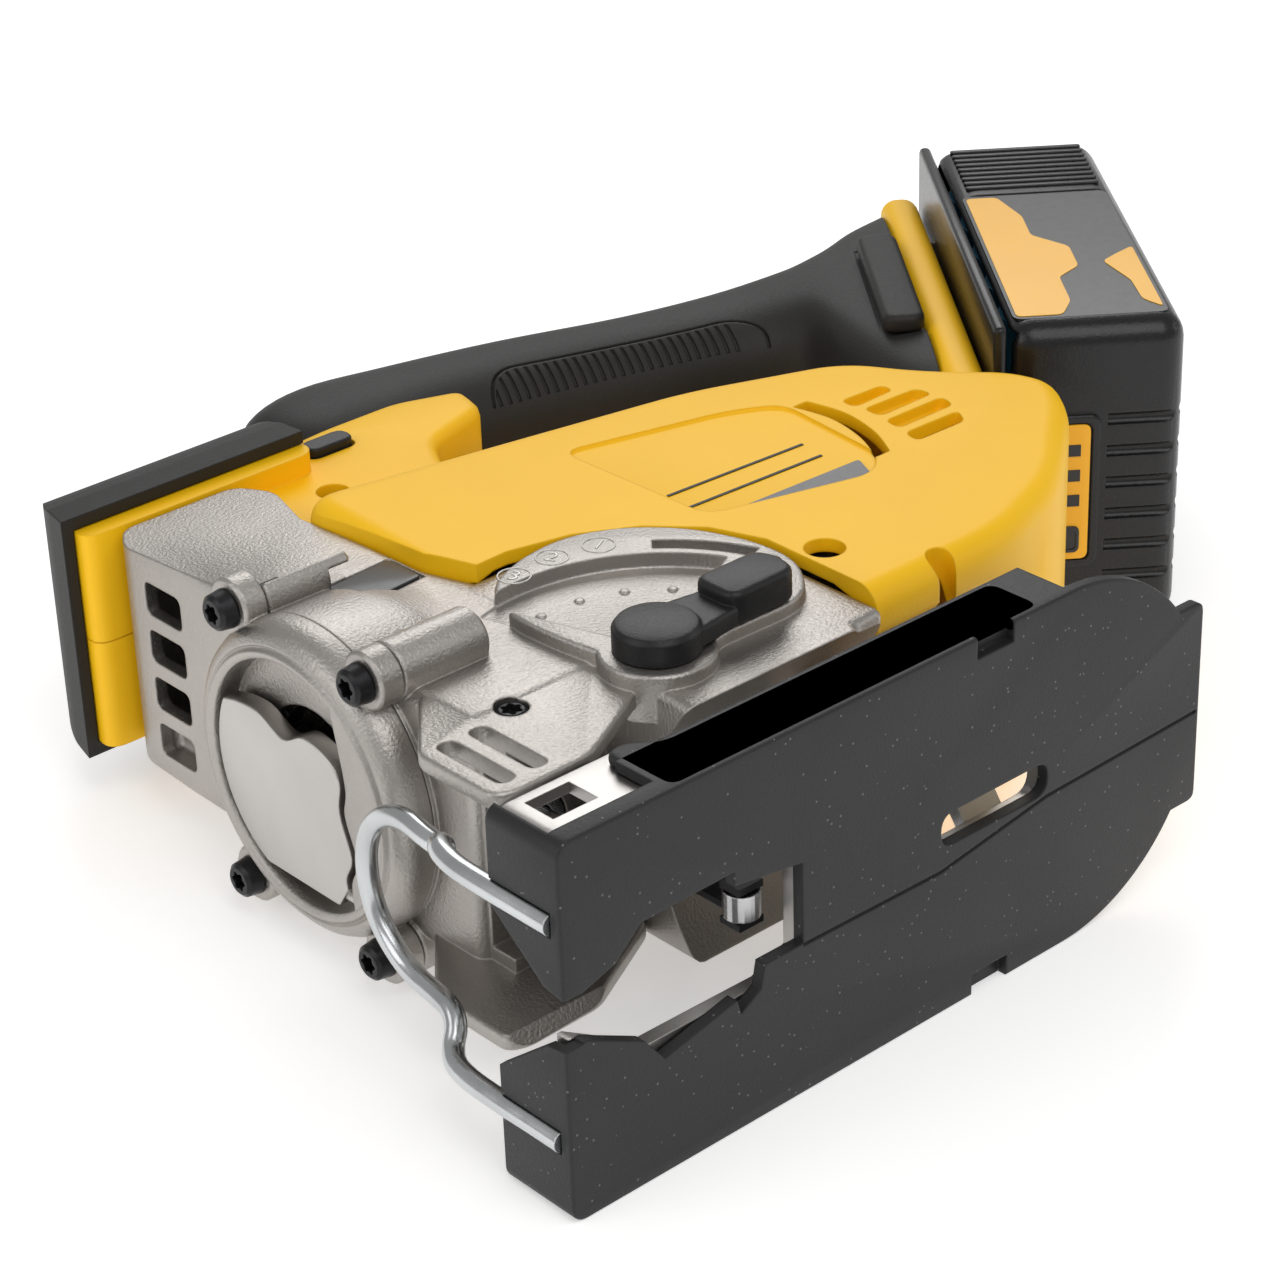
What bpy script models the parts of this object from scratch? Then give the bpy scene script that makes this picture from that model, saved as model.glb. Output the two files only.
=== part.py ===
"""Cordless top-handle jigsaw with a slide-on battery, lying on its right side.

Lengths are in millimetres until the meshes are written, which are in metres.
X runs from the blade end to the battery, Y from the sole to the handle, and Z,
which is up, from the tool's right side to its left side.
"""

import math

import bmesh
import bpy
from mathutils import Matrix, Vector

MM = 0.001
GAP = 0.3
MID = 39.0
CENTRE_X = 156.7
CENTRE_Y = 114.0

# Shoe
SHOE_LENGTH = 166.5
SHOE_HALF = 39.0
SHOE_ARC_X = 127.5
TAB_HALF = 22.4
COVER_SOLE = 2.5
COVER_WALL = 2.0
COVER_FRONT_HEIGHT = 18.7
COVER_LIP_HEIGHT = 14.0
COVER_LIP_START = 25.6
PLATE_INSET = COVER_WALL + GAP
PLATE_FRONT = 3.0
PLATE_LOW = COVER_SOLE + GAP
PLATE_TOP = PLATE_LOW + 3.0
FLANGE_WALL = 2.3
FLANGE_FRONT_HEIGHT = 20.0
FLANGE_REAR_HEIGHT = 12.0
FLANGE_STEP = 32.0
WIRE_RADIUS = 2.2
WIRE_LEFT = 61.4
WIRE_RIGHT = 16.6

# Bevel seat
SADDLE_INNER = 20.0
SADDLE_OUTER = 23.0
SEAT_OUTER = 29.0
BOLT_X = 112.0
SWEEP_RADIUS = 43.0

# Gear case and drive
CAP_Y = 101.0
CAP_RADIUS = 33.0
CAP_RECESS = 26.0
CAP_FRONT = 18.0
CAP_BACK = 26.7
BLADE_HINGE_X = 20.9
BLADE_HINGE_Z = 19.5
LUG_Y = 21.0
LUG_Z = 30.3
LUG_RADIUS = 6.0
CASE_FRONT = 27.0
CASE_LOW = 11.0
CASE_HIGH = 67.0
PLUNGER_X = 42.0
GEAR_Y = 84.0
MOTOR_Y = 108.5
GEAR_MODULE = 1.0
GEAR_TEETH = 38
PINION_TEETH = 11
DIAL_HUB = (68.0, 50.0)
DIAL_TOP = 70.0

# Housing and handle
HOUSING_LOW = 8.0
HOUSING_HIGH = 70.0
HOUSING_WALL = 3.0
COLUMN_HALF = 20.0
NOSE_HALF = 27.5
BUMPER_THICKNESS = 3.0
HOUSING_SCREWS = [(122, 62), (134, 46)]

# Battery, in its own tilted frame: X along its length, Y towards the handle
BATTERY_CORNER = (245.7, 70.5)
BATTERY_TILT = 52.0
BATTERY_LENGTH = 116.0
BATTERY_HEIGHT = 43.4
BATTERY_WIDTH = 76.0
BATTERY_WALL = 2.5
RAIL_HEIGHT = 15.0
RAIL_ROOM = (18.6, 57.4)
FOOT_BAND_TOP = 53.5
PAD_START = 31.0
PAD_END = 83.0
PAD_TOP = 63.5
PAD_LEVELS = ((11.0, 15.6), (62.4, 67.0))
CELL_RADIUS = 9.0
CELL_LENGTH = 65.0

MATERIALS = {
    "cast_aluminium": ((0.52, 0.50, 0.48), 0.42, 0.9),
    "zinc_steel": ((0.62, 0.64, 0.65), 0.30, 1.0),
    "dark_steel": ((0.07, 0.07, 0.07), 0.45, 0.9),
    "bright_steel": ((0.55, 0.55, 0.56), 0.25, 1.0),
    "yellow_plastic": ((0.95, 0.55, 0.01), 0.45, 0.0),
    "black_plastic": ((0.025, 0.025, 0.026), 0.50, 0.0),
    "black_gloss": ((0.016, 0.016, 0.018), 0.28, 0.0),
    "black_rubber": ((0.035, 0.034, 0.033), 0.65, 0.0),
    "copper": ((0.72, 0.34, 0.18), 0.35, 1.0),
    "cell_wrap": ((0.05, 0.22, 0.35), 0.40, 0.0),
}


def clear_scene():
    for item in list(bpy.data.objects):
        bpy.data.objects.remove(item, do_unlink=True)


def make_collection(name):
    group = bpy.data.collections.new(name)
    bpy.context.scene.collection.children.link(group)
    return group


def make_empty(name, location, parent=None, turn=0.0):
    empty = bpy.data.objects.new(name, None)
    empty.location = Vector(location) * MM
    empty.rotation_euler.z = math.radians(turn)
    empty.parent = parent
    PARTS.objects.link(empty)
    return empty


def get_material(name):
    material = bpy.data.materials.get(name)
    if material is None:
        colour, roughness, metallic = MATERIALS[name]
        material = bpy.data.materials.new(name)
        material.use_nodes = True
        shader = material.node_tree.nodes["Principled BSDF"]
        shader.inputs["Base Color"].default_value = (*colour, 1.0)
        shader.inputs["Roughness"].default_value = roughness
        shader.inputs["Metallic"].default_value = metallic
        material.diffuse_color = (*colour, 1.0)
    return material


# Shapes, each returned as a bmesh in millimetres

def from_axes(axis, u, v, w):
    """Place a flat point (u, v) at height w along the named axis."""
    if axis == "x":
        return Vector((w, u, v))
    if axis == "y":
        return Vector((u, w, v))
    return Vector((u, v, w))


def box(low, high):
    shape = bmesh.new()
    bmesh.ops.create_cube(shape, size=1.0)
    low = Vector(low)
    high = Vector(high)
    size = high - low
    for vert in shape.verts:
        vert.co = Vector((vert.co.x * size.x, vert.co.y * size.y, vert.co.z * size.z))
        vert.co += (low + high) / 2
    return shape


def prism(outline, low, high, axis="z"):
    """Extrude a flat outline from low to high along an axis."""
    shape = bmesh.new()
    corners = [shape.verts.new(from_axes(axis, u, v, low)) for u, v in outline]
    face = shape.faces.new(corners)
    grown = bmesh.ops.extrude_face_region(shape, geom=[face])
    moved = [item for item in grown["geom"] if isinstance(item, bmesh.types.BMVert)]
    bmesh.ops.translate(shape, verts=moved, vec=from_axes(axis, 0, 0, high - low))
    bmesh.ops.recalc_face_normals(shape, faces=shape.faces)
    return shape


def rod(axis, u, v, radius, low, high, sides=24):
    """A cylinder along an axis, centred on (u, v) in the plane across it."""
    shape = bmesh.new()
    bmesh.ops.create_cone(shape, cap_ends=True, segments=sides, radius1=radius,
                          radius2=radius, depth=high - low)
    turn = {"x": Matrix.Rotation(math.pi / 2, 3, "Y"),
            "y": Matrix.Rotation(math.pi / 2, 3, "X"),
            "z": Matrix.Identity(3)}[axis]
    centre = from_axes(axis, u, v, (low + high) / 2)
    for vert in shape.verts:
        vert.co = turn @ vert.co + centre
    return shape


def turned(axis, u, v, profile, sides=32):
    """Spin a closed profile of (along, radius) points about an axis."""
    shape = bmesh.new()
    centre = from_axes(axis, u, v, 0)
    points = [shape.verts.new(centre + from_axes(axis, radius, 0, along)) for along, radius in profile]
    edges = [shape.edges.new((points[i - 1], points[i])) for i in range(len(points))
             if profile[i - 1][1] or profile[i][1]]
    bmesh.ops.spin(shape, geom=points + edges, cent=centre, axis=from_axes(axis, 0, 0, 1),
                   angle=2 * math.pi, steps=sides, use_merge=True)
    bmesh.ops.remove_doubles(shape, verts=shape.verts, dist=0.001)
    bmesh.ops.recalc_face_normals(shape, faces=shape.faces)
    return shape


def ring(axis, u, v, inner, outer, low, high, sides=32):
    return turned(axis, u, v, [(low, inner), (low, outer), (high, outer), (high, inner)], sides)


def joined(shapes):
    """Gather separate shapes that do not touch into one bmesh."""
    whole = bmesh.new()
    for shape in shapes:
        piece = bpy.data.meshes.new("piece")
        shape.to_mesh(piece)
        shape.free()
        whole.from_mesh(piece)
        bpy.data.meshes.remove(piece)
    return whole


def loft(sections, sides=28):
    """Bridge rounded sections: (centre x, centre y, half height, half width, lean, squareness)."""
    shape = bmesh.new()
    loops = []
    for x, y, height, width, lean, power in sections:
        up = Vector((-math.sin(math.radians(lean)), math.cos(math.radians(lean)), 0))
        verts = []
        for step in range(sides):
            angle = 2 * math.pi * step / sides
            across = math.copysign(abs(math.cos(angle)) ** power, math.cos(angle)) * width
            along = math.copysign(abs(math.sin(angle)) ** power, math.sin(angle)) * height
            verts.append(shape.verts.new(Vector((x, y, MID + across)) + up * along))
        edges = [shape.edges.new((verts[i - 1], verts[i])) for i in range(sides)]
        loops.append((verts, edges))
    for first, second in zip(loops, loops[1:]):
        bmesh.ops.bridge_loops(shape, edges=first[1] + second[1])
    shape.faces.new(loops[0][0])
    shape.faces.new(loops[-1][0])
    bmesh.ops.recalc_face_normals(shape, faces=shape.faces)
    return shape


def arc(centre_u, centre_v, radius, start, end, steps):
    """Points on an arc, angles in degrees."""
    points = []
    for step in range(steps + 1):
        angle = math.radians(start + (end - start) * step / steps)
        points.append((centre_u + radius * math.cos(angle), centre_v + radius * math.sin(angle)))
    return points


def grown_outline(outline, distance):
    """Move every edge of an outline outwards by a distance."""
    area = sum(a[0] * b[1] - b[0] * a[1] for a, b in zip(outline, outline[1:] + outline[:1]))
    side = distance if area > 0 else -distance
    result = []
    for index, here in enumerate(outline):
        before = Vector(outline[index - 1])
        after = Vector(outline[(index + 1) % len(outline)])
        first = (Vector(here) - before).normalized()
        second = (after - Vector(here)).normalized()
        normal_a = Vector((first.y, -first.x))
        normal_b = Vector((second.y, -second.x))
        middle = (normal_a + normal_b).normalized()
        reach = side / max(0.35, middle.dot(normal_a))
        result.append(tuple(Vector(here) + middle * reach))
    return result


def rounded_outline(outline, radius, steps=3):
    """Replace the corners of an outline by short curves."""
    result = []
    for index, here in enumerate(outline):
        corner = Vector(here)
        before = Vector(outline[index - 1])
        after = Vector(outline[(index + 1) % len(outline)])
        reach = min(radius, (before - corner).length * 0.45, (after - corner).length * 0.45)
        start = corner + (before - corner).normalized() * reach
        end = corner + (after - corner).normalized() * reach
        for step in range(steps + 1):
            t = step / steps
            result.append(tuple(start * (1 - t) ** 2 + corner * 2 * t * (1 - t) + end * t ** 2))
    return result


def gear_outline(centre_u, centre_v, teeth, phase):
    """A toothed outline with some backlash."""
    pitch_radius = GEAR_MODULE * teeth / 2
    step = 2 * math.pi / teeth
    points = []
    for tooth in range(teeth):
        middle = step * tooth + phase
        for offset, radius in ((-0.27, pitch_radius - 1.0), (-0.13, pitch_radius + 0.65),
                               (0.13, pitch_radius + 0.65), (0.27, pitch_radius - 1.0)):
            angle = middle + offset * step
            points.append((centre_u + radius * math.cos(angle), centre_v + radius * math.sin(angle)))
    return points


# Objects

def place(name, shape, collection, pivot, parent):
    mesh = bpy.data.meshes.new(name)
    for vert in shape.verts:
        vert.co = (vert.co - Vector(pivot)) * MM
    shape.to_mesh(mesh)
    shape.free()
    item = bpy.data.objects.new(name, mesh)
    item.location = Vector(pivot) * MM
    item.parent = TOOL if parent is None else parent
    collection.objects.link(item)
    return item


def round_edges(item, width, segments=2, limit=35):
    bevel = item.modifiers.new("round_edges", "BEVEL")
    bevel.width = width * MM
    bevel.segments = segments
    bevel.limit_method = "ANGLE"
    bevel.angle_limit = math.radians(limit)
    bevel.use_clamp_overlap = True


def part(name, shape, material, pivot=(0, 0, 0), parent=None, bevel=0.0, segments=2, smooth=False):
    item = place(name, shape, PARTS, pivot, parent)
    item.data.materials.append(get_material(material))
    if smooth:
        item.data.shade_smooth()
    if bevel:
        round_edges(item, bevel, segments)
    return item


def cutter(name, shape, parent=None, bevel=0.0, segments=2):
    item = place("cut_" + name, shape, CUTTERS, (0, 0, 0), parent)
    item.hide_render = True
    item.display_type = "WIRE"
    if bevel:
        round_edges(item, bevel, segments)
    return item


def combine(item, operation, *tools):
    for tool in tools:
        boolean = item.modifiers.new(tool.name, "BOOLEAN")
        boolean.operation = operation
        boolean.solver = "EXACT"
        boolean.object = tool


def wire(name, points, radius, material, resolution=3):
    """A bent wire with closed ends through hand-placed points."""
    data = bpy.data.curves.new(name, "CURVE")
    data.dimensions = "3D"
    data.bevel_depth = radius * MM
    data.bevel_resolution = resolution
    data.use_fill_caps = True
    spline = data.splines.new("POLY")
    spline.points.add(len(points) - 1)
    for target, point in zip(spline.points, points):
        target.co = (*(Vector(point) * MM), 1.0)
    item = bpy.data.objects.new(name, data)
    item.data.materials.append(get_material(material))
    item.parent = TOOL
    PARTS.objects.link(item)
    return item


# Shoe

def sole_outline(inset, front):
    """The sole seen from below, as (x, z), drawn in by an inset."""
    radius = SHOE_HALF - inset
    tab = TAB_HALF - inset
    tab_angle = math.degrees(math.asin(tab / radius))
    rear = SHOE_LENGTH - inset
    outline = [(front, MID - radius + 3), (front + 1, MID - radius + 1), (front + 3, MID - radius)]
    outline += arc(SHOE_ARC_X, MID, radius, -90, -tab_angle, 8)
    outline += [(rear, MID - tab), (rear, MID + tab)]
    outline += arc(SHOE_ARC_X, MID, radius, tab_angle, 90, 8)
    outline += [(front + 3, MID + radius), (front + 1, MID + radius - 1), (front, MID + radius - 3)]
    return outline


def blade_opening():
    """The slot that opens at the front and widens around the blade."""
    return [(-2, 37.0), (-2, 47.0), (4, 47.0), (12, 49.5), (20, 54.0), (24, 55.0), (57.5, 55.0),
            (57.5, 26.6), (43, 26.6), (20, 29.0), (4, 37.0)]


def make_shoe():
    opening = cutter("blade_opening", prism(blade_opening(), -1, 8, "y"))
    long_slot = cutter("long_slot", prism(rounded_outline([(93, 36), (93, 46), (122, 46), (122, 36)], 5),
                                          -1, 8, "y"))
    cover = part("shoe_cover", prism(sole_outline(0, 0), 0, COVER_FRONT_HEIGHT, "y"), "black_plastic")
    hollow = cutter("cover_hollow", prism(sole_outline(COVER_WALL, COVER_WALL), COVER_SOLE, 30, "y"))
    rear = cutter("cover_rear", box((SHOE_ARC_X, COVER_SOLE, -5), (200, 30, 90)))
    lips = cutter("cover_lips", box((COVER_LIP_START, COVER_LIP_HEIGHT, -5), (200, 30, 90)))
    corners = cutter("cover_corners", box((COVER_WALL + 0.2, 4.5, -5), (COVER_LIP_START, 30, 90)))
    mouth = cutter("cover_mouth", prism([(-1, 37.0), (-1, 47.0), (5, 48), (20, 60), (20, 24), (5, 36)],
                                        -2, 4, "x"))
    notches = cutter("cover_notches", joined([box((101.5, -1, -2), (111.6, 2.2, 4.6)),
                                              box((101.5, -1, 73.4), (111.6, 2.2, 80))]))
    grooves = cutter("wire_grooves", joined([
        box((-2, 2.4, z - WIRE_RADIUS - GAP), (5, 30, z + WIRE_RADIUS + GAP))
        for z in (WIRE_LEFT, WIRE_RIGHT)]))
    combine(cover, "DIFFERENCE", hollow, rear, lips, corners, mouth, notches, grooves, opening, long_slot)

    plate = part("shoe_plate", prism(sole_outline(PLATE_INSET, PLATE_FRONT), PLATE_LOW,
                                     FLANGE_FRONT_HEIGHT, "y"), "cast_aluminium")
    inside = [(-5, PLATE_INSET + FLANGE_WALL), (-5, 2 * MID - PLATE_INSET - FLANGE_WALL),
              (200, 2 * MID - PLATE_INSET - FLANGE_WALL), (200, PLATE_INSET + FLANGE_WALL)]
    plate_hollow = cutter("plate_hollow", prism(inside, PLATE_TOP, 30, "y"))
    plate_rear = cutter("plate_rear", box((SHOE_ARC_X - 4, PLATE_TOP, -5), (200, 30, 90)))
    plate_step = cutter("plate_step", box((FLANGE_STEP, FLANGE_REAR_HEIGHT, -5), (200, 30, 90)))
    plate_window = cutter("plate_window", box((9, 10, 70), (17, 17.5, 80)))
    combine(plate, "DIFFERENCE", plate_hollow, plate_rear, plate_step, plate_window, grooves, opening,
            long_slot)


def guard_route():
    """Half of the wire guard, from its left end to the top of its loop."""
    left = [(0.5, 2.8, WIRE_LEFT), (0.5, 10, WIRE_LEFT), (0.5, 20, WIRE_LEFT), (0.8, 28, WIRE_LEFT),
            (2.0, 33.5, WIRE_LEFT), (4.2, 37.0, 60.6), (6.6, 39.0, 58.2), (8.0, 42.0, 56.4),
            (8.8, 47.0, 56.0), (9.6, 53.0, 56.0), (10.2, 58.5, 54.6), (10.6, 63.2, 51.6),
            (10.8, 66.4, 47.6), (10.9, 68.0, 43.2)]
    right = [(x, y, 2 * MID - z) for x, y, z in reversed(left)]
    return left + [(10.9, 68.4, MID)] + right


def make_wire_guard():
    wire("wire_guard", guard_route(), WIRE_RADIUS, "zinc_steel")


def sector(inner, outer, half_angle, steps=10):
    """A ring sector about the bevel axis, as (y, z)."""
    outside = arc(0, MID, outer, -half_angle, half_angle, steps)
    return outside + arc(0, MID, inner, half_angle, -half_angle, steps)


def make_bevel_seat():
    saddle = part("bevel_saddle", prism(sector(SADDLE_INNER, SADDLE_OUTER, 70, 14), 80, 126, "x"),
                  "zinc_steel")
    feet = cutter("saddle_feet", joined([box((80, PLATE_TOP + GAP, 14), (126, PLATE_TOP + 2.3, 20)),
                                         box((80, PLATE_TOP + GAP, 58), (126, PLATE_TOP + 2.3, 64))]))
    combine(saddle, "UNION", feet)
    saddle_slot = cutter("saddle_slot", prism(sector(15, 28, 57, 10), BOLT_X - 3.4, BOLT_X + 3.4, "x"))
    combine(saddle, "DIFFERENCE", saddle_slot)

    seat = part("bevel_seat", prism(sector(SADDLE_OUTER + GAP, SEAT_OUTER, 21, 8), 82, 124, "x"),
                "cast_aluminium")
    combine(seat, "UNION", cutter("seat_neck", box((82.2, 27, MID - 10), (94, 45.7, MID + 10))))
    combine(seat, "DIFFERENCE", cutter("seat_hole", rod("y", BOLT_X, MID, 2.9, 20, 32, 20)))

    part("bevel_bolt", turned("y", BOLT_X, MID, [(15.2, 0), (15.2, 4.6), (18.8, 4.6), (18.8, 2.5), (34.4, 2.5),
                                                (34.4, 4.4), (38, 4.4), (38, 0)], 20), "dark_steel")
    lever = part("bevel_lever", rod("y", BOLT_X, MID, 7, SEAT_OUTER + 0.6, 34, 24), "black_plastic",
                 pivot=(BOLT_X, 0, MID))
    arm = cutter("bevel_arm", box((BOLT_X, SEAT_OUTER + 0.9, MID - 5), (150, 33.4, MID + 5)), bevel=1.2)
    combine(lever, "UNION", arm)
    combine(lever, "DIFFERENCE", cutter("bevel_arm_hole", rod("y", BOLT_X, MID, 2.8, 20, 40, 20)))


# Gear case

UPPER_CASE = [(CASE_FRONT + 1, 57), (CASE_FRONT + 1, 168), (33, 175), (61, 175), (65, 166), (60, 150),
              (62, 112),
              (66, 100), (66, 57)]
DIAL_CASE = [(60, 100), (74, 100.5), (88, 97), (100, 90), (109, 80), (113.5, 68), (113, 34.6), (105, 34.6),
             (103, 30), (60, 30)]
NECK_ROOM = ((80, 20, 28), (99, 46.5, 50))
CASE_TAPERS = ([(118, CASE_HIGH + 0.3), (180, 63.2), (180, 80), (118, 80)],
               [(118, CASE_LOW - 0.3), (180, 14.8), (180, 0), (118, 0)])
CORE_LOW = (30, 50, 14.5)
CORE_HIGH = (110, 122, 63.5)


def shoe_sweep():
    """The round space that the shoe's upturned edges pass through as it tilts."""
    return cutter("shoe_sweep", rod("x", 0, MID, SWEEP_RADIUS, 5, 230, 40))


def lug_centres():
    return [(CAP_Y + side * LUG_Y, MID + edge * LUG_Z) for side in (-1, 1) for edge in (-1, 1)]


def make_gear_case():
    case = part("gear_case", prism(UPPER_CASE, CASE_LOW, CASE_HIGH), "cast_aluminium", bevel=2.5)
    dial_block = cutter("dial_block", prism(DIAL_CASE, CASE_LOW - 0.1, CASE_HIGH + 0.1), bevel=2.0)
    core = cutter("case_core", box(CORE_LOW, CORE_HIGH))
    barrel = cutter("case_barrel", rod("x", CAP_Y, MID, CAP_RADIUS, CASE_FRONT, 52, 30))
    lugs = [cutter("case_lug", rod("x", y, z, LUG_RADIUS, CASE_FRONT + 0.1, 48, 16))
            for y, z in lug_centres()]
    guard = [(15, 36), (15, 58), (29, 74), (60, 74), (60, 47), (36, 34), (19, 33.5)]
    walls = [cutter("guard_left", prism(guard, CASE_HIGH - 4, CASE_HIGH - 0.5), bevel=0.8),
             cutter("guard_right", prism(guard, CASE_LOW + 0.5, CASE_LOW + 4), bevel=0.8)]
    plate_edge = [(60, 58), (56, 80), (62, 92), (74, 97), (87, 94), (98, 87), (106, 78), (110, 67),
                  (109.5, 50), (66, 49)]
    dial_plate = cutter("dial_plate", prism(plate_edge, CASE_HIGH - 2, DIAL_TOP), bevel=1)
    combine(case, "UNION", dial_block, core, barrel, *lugs, *walls, dial_plate)

    chamber = cutter("case_chamber", box((CASE_FRONT + 4, 61, 18), (106, 118.5, 60)))
    attic = cutter("case_attic", box((CASE_FRONT + 4, 110, 18), (56, 170, 60)))
    bore = cutter("case_bore", rod("x", CAP_Y, MID, 14, 20, 40, 32))
    bush_hole = cutter("case_bush_hole", rod("y", PLUNGER_X, MID, 7.6, 50, 70, 20))
    mouth = cutter("case_mouth", box((CASE_FRONT - 5, 20, 18), (60, 56.5, 60)))
    bearing = cutter("case_bearing_hole", rod("x", MOTOR_Y, MID, 11.3, 100, 115, 24))
    shaft = cutter("case_shaft_hole", rod("x", GEAR_Y, MID, 4.3, 100, 115, 20))
    neck = cutter("neck_room", box(*NECK_ROOM))
    tapers = [cutter("case_taper", prism(taper, 20, 70, "x")) for taper in CASE_TAPERS]
    combine(case, "DIFFERENCE", shoe_sweep(), chamber, attic, bore, bush_hole, mouth, bearing, shaft, neck,
            *tapers)
    slots = [cutter("guard_slot", prism(rounded_outline([(x, 38), (x + 4, 38), (x + 4, 56), (x, 56)], 2),
                                        60, 70)) for x in (19, 27)]
    vents = [cutter("case_vent", box((20, 149, z), (33, 161, z + 7.6))) for z in (18, 29, 40, 51)]
    screws = [cutter("case_screw_hole", rod("x", y, z, 2.3, 20, 36, 12)) for y, z in lug_centres()]
    lever = cutter("case_orbit_hole", rod("z", *DIAL_HUB, 3.3, 55, 75, 16))
    combine(case, "DIFFERENCE", *slots, *vents, *screws, lever)


def make_front_cover():
    cover = part("front_cover", turned("x", CAP_Y, MID, [
        (CAP_FRONT, CAP_RECESS), (CAP_FRONT, CAP_RADIUS - 4), (CAP_FRONT + 1.2, CAP_RADIUS - 1.2),
        (CAP_FRONT + 4, CAP_RADIUS), (CAP_BACK, CAP_RADIUS), (CAP_BACK, 15), (24.2, 15),
        (24.2, CAP_RECESS)], 36), "cast_aluminium")
    lugs = [cutter("cover_lug", rod("x", y, z, LUG_RADIUS, 21.5, CAP_BACK, 16)) for y, z in lug_centres()]
    edge = [(CAP_Y - 16.2, MID - 20.6), (CAP_Y - 16, MID - 15), (CAP_Y - 18.2, MID - 9),
            (CAP_Y - 15.4, MID), (CAP_Y - 16.2, MID + 7), (CAP_Y - 13, MID + 22.9)]
    land = edge + arc(CAP_Y, MID, CAP_RECESS + 0.5, 119.6, 231.8, 12)
    combine(cover, "UNION", *lugs, cutter("cover_land", prism(land, 18.6, 24.4, "x")))
    holes = [cutter("cover_screw_hole", rod("x", y, z, 2.3, 10, 30, 12)) for y, z in lug_centres()]
    pin_room = cutter("lever_pin_room", rod("y", BLADE_HINGE_X, BLADE_HINGE_Z, 1.7, CAP_Y - 19,
                                            CAP_Y + 19, 12))
    heads = [cutter("cover_head_room", rod("x", y, z, 4.4, 10, 21.4, 16)) for y, z in lug_centres()]
    combine(cover, "DIFFERENCE", *heads, *holes, pin_room)
    for number, (y, z) in enumerate(lug_centres(), 1):
        screw = [(17.6, 0), (17.6, 3.6), (21.2, 4.0), (21.2, 2.0), (34, 2.0), (34, 0)]
        part(f"cover_screw_{number}", turned("x", y, z, screw, 12), "dark_steel")


def make_blade_lever():
    rim = arc(CAP_Y, MID, 24.6, 27, -75, 14) + arc(CAP_Y, MID, 24.6, -105, -118, 3)
    edge = [(CAP_Y - 14.6, MID - 17), (CAP_Y - 14.4, MID - 14.4), (CAP_Y - 16.6, MID - 9),
            (CAP_Y - 13.8, MID), (CAP_Y - 14.6, MID + 7), (CAP_Y - 11, MID + 11), (CAP_Y - 4, MID + 12.5),
            (CAP_Y + 3, MID + 9.5), (CAP_Y + 11, MID + 12.5), (CAP_Y + 18, MID + 12.2)]
    outline = [(y, max(z, 17.2)) for y, z in rim + edge]
    lever = part("blade_lever", prism(outline, BLADE_HINGE_X - 2.1, BLADE_HINGE_X + 2.1, "x"),
                 "cast_aluminium", pivot=(BLADE_HINGE_X, CAP_Y, BLADE_HINGE_Z), bevel=0.8)
    combine(lever, "UNION", cutter("blade_lever_pin", rod("y", BLADE_HINGE_X, BLADE_HINGE_Z, 1.3, CAP_Y - 18.5,
                                                          CAP_Y + 18.5, 12)))


# Drive

def make_drive():
    plunger = part("plunger", rod("y", PLUNGER_X, MID, 4.5, 43, 132, 20), "bright_steel",
                   pivot=(PLUNGER_X, 0, MID))
    yoke = cutter("yoke", box((46, GEAR_Y - 8, MID - 19), (53.6, GEAR_Y + 8, MID + 19)), bevel=1.0)
    foot = cutter("plunger_neck", box((PLUNGER_X, GEAR_Y - 8, MID - 4), (47, GEAR_Y + 8, MID + 4)))
    combine(plunger, "UNION", yoke, foot)
    combine(plunger, "DIFFERENCE", cutter("yoke_slot", box((48.8, GEAR_Y - 4.5, MID - 17),
                                                           (60, GEAR_Y + 4.5, MID + 17))))
    clamp = part("blade_clamp", turned("y", PLUNGER_X, MID, [
        (28, 2.2), (28, 6), (29.6, 7.6), (32, 7.6), (32, 6.8), (34, 6.8), (34, 7.6), (37, 7.6), (37, 6.8),
        (39, 6.8), (39, 7.6), (42.6, 7.6), (42.6, 2.2)], 28), "dark_steel", pivot=(PLUNGER_X, 0, MID))
    clamp.data.shade_smooth()
    part("lower_bush", ring("y", PLUNGER_X, MID, 4.8, 7.3, 57, 62.6, 20), "bright_steel")
    part("upper_bush", ring("y", PLUNGER_X, MID, 4.8, 8, 113, 121, 20), "bright_steel")

    gear = part("drive_gear", prism(gear_outline(GEAR_Y, MID, GEAR_TEETH, 0.0), 60, 69, "x"),
                "bright_steel", pivot=(0, GEAR_Y, MID))
    combine(gear, "UNION", cutter("crank_pin", rod("x", GEAR_Y, MID + 13, 3.6, 54.4, 62, 16)))
    combine(gear, "DIFFERENCE", cutter("gear_bore", rod("x", GEAR_Y, MID, 4.3, 50, 80, 20)))
    part("gear_shaft", rod("x", GEAR_Y, MID, 4.0, 58, 110, 20), "bright_steel")
    weight = part("counterweight", box((71, GEAR_Y - 15, MID - 17), (79, GEAR_Y + 15, MID + 17)),
                  "bright_steel", bevel=1.5)
    combine(weight, "DIFFERENCE", cutter("weight_slot", prism(rounded_outline([
        (GEAR_Y - 11, MID - 4.6), (GEAR_Y + 11, MID - 4.6), (GEAR_Y + 11, MID + 4.6),
        (GEAR_Y - 11, MID + 4.6)], 4), 65, 85, "x")))
    part("pinion", prism(gear_outline(MOTOR_Y, MID, PINION_TEETH, math.pi + math.pi / PINION_TEETH),
                         60, 69, "x"), "bright_steel", pivot=(0, MOTOR_Y, MID))


def fan_blade(degrees):
    """One straight radial blade on the face of the fan."""
    blade = box((114, 8, -0.8), (120, 18, 0.8))
    turn = Matrix.Rotation(math.radians(degrees), 3, "X")
    for vert in blade.verts:
        vert.co = turn @ vert.co + Vector((0, MOTOR_Y, MID))
    return blade


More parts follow.
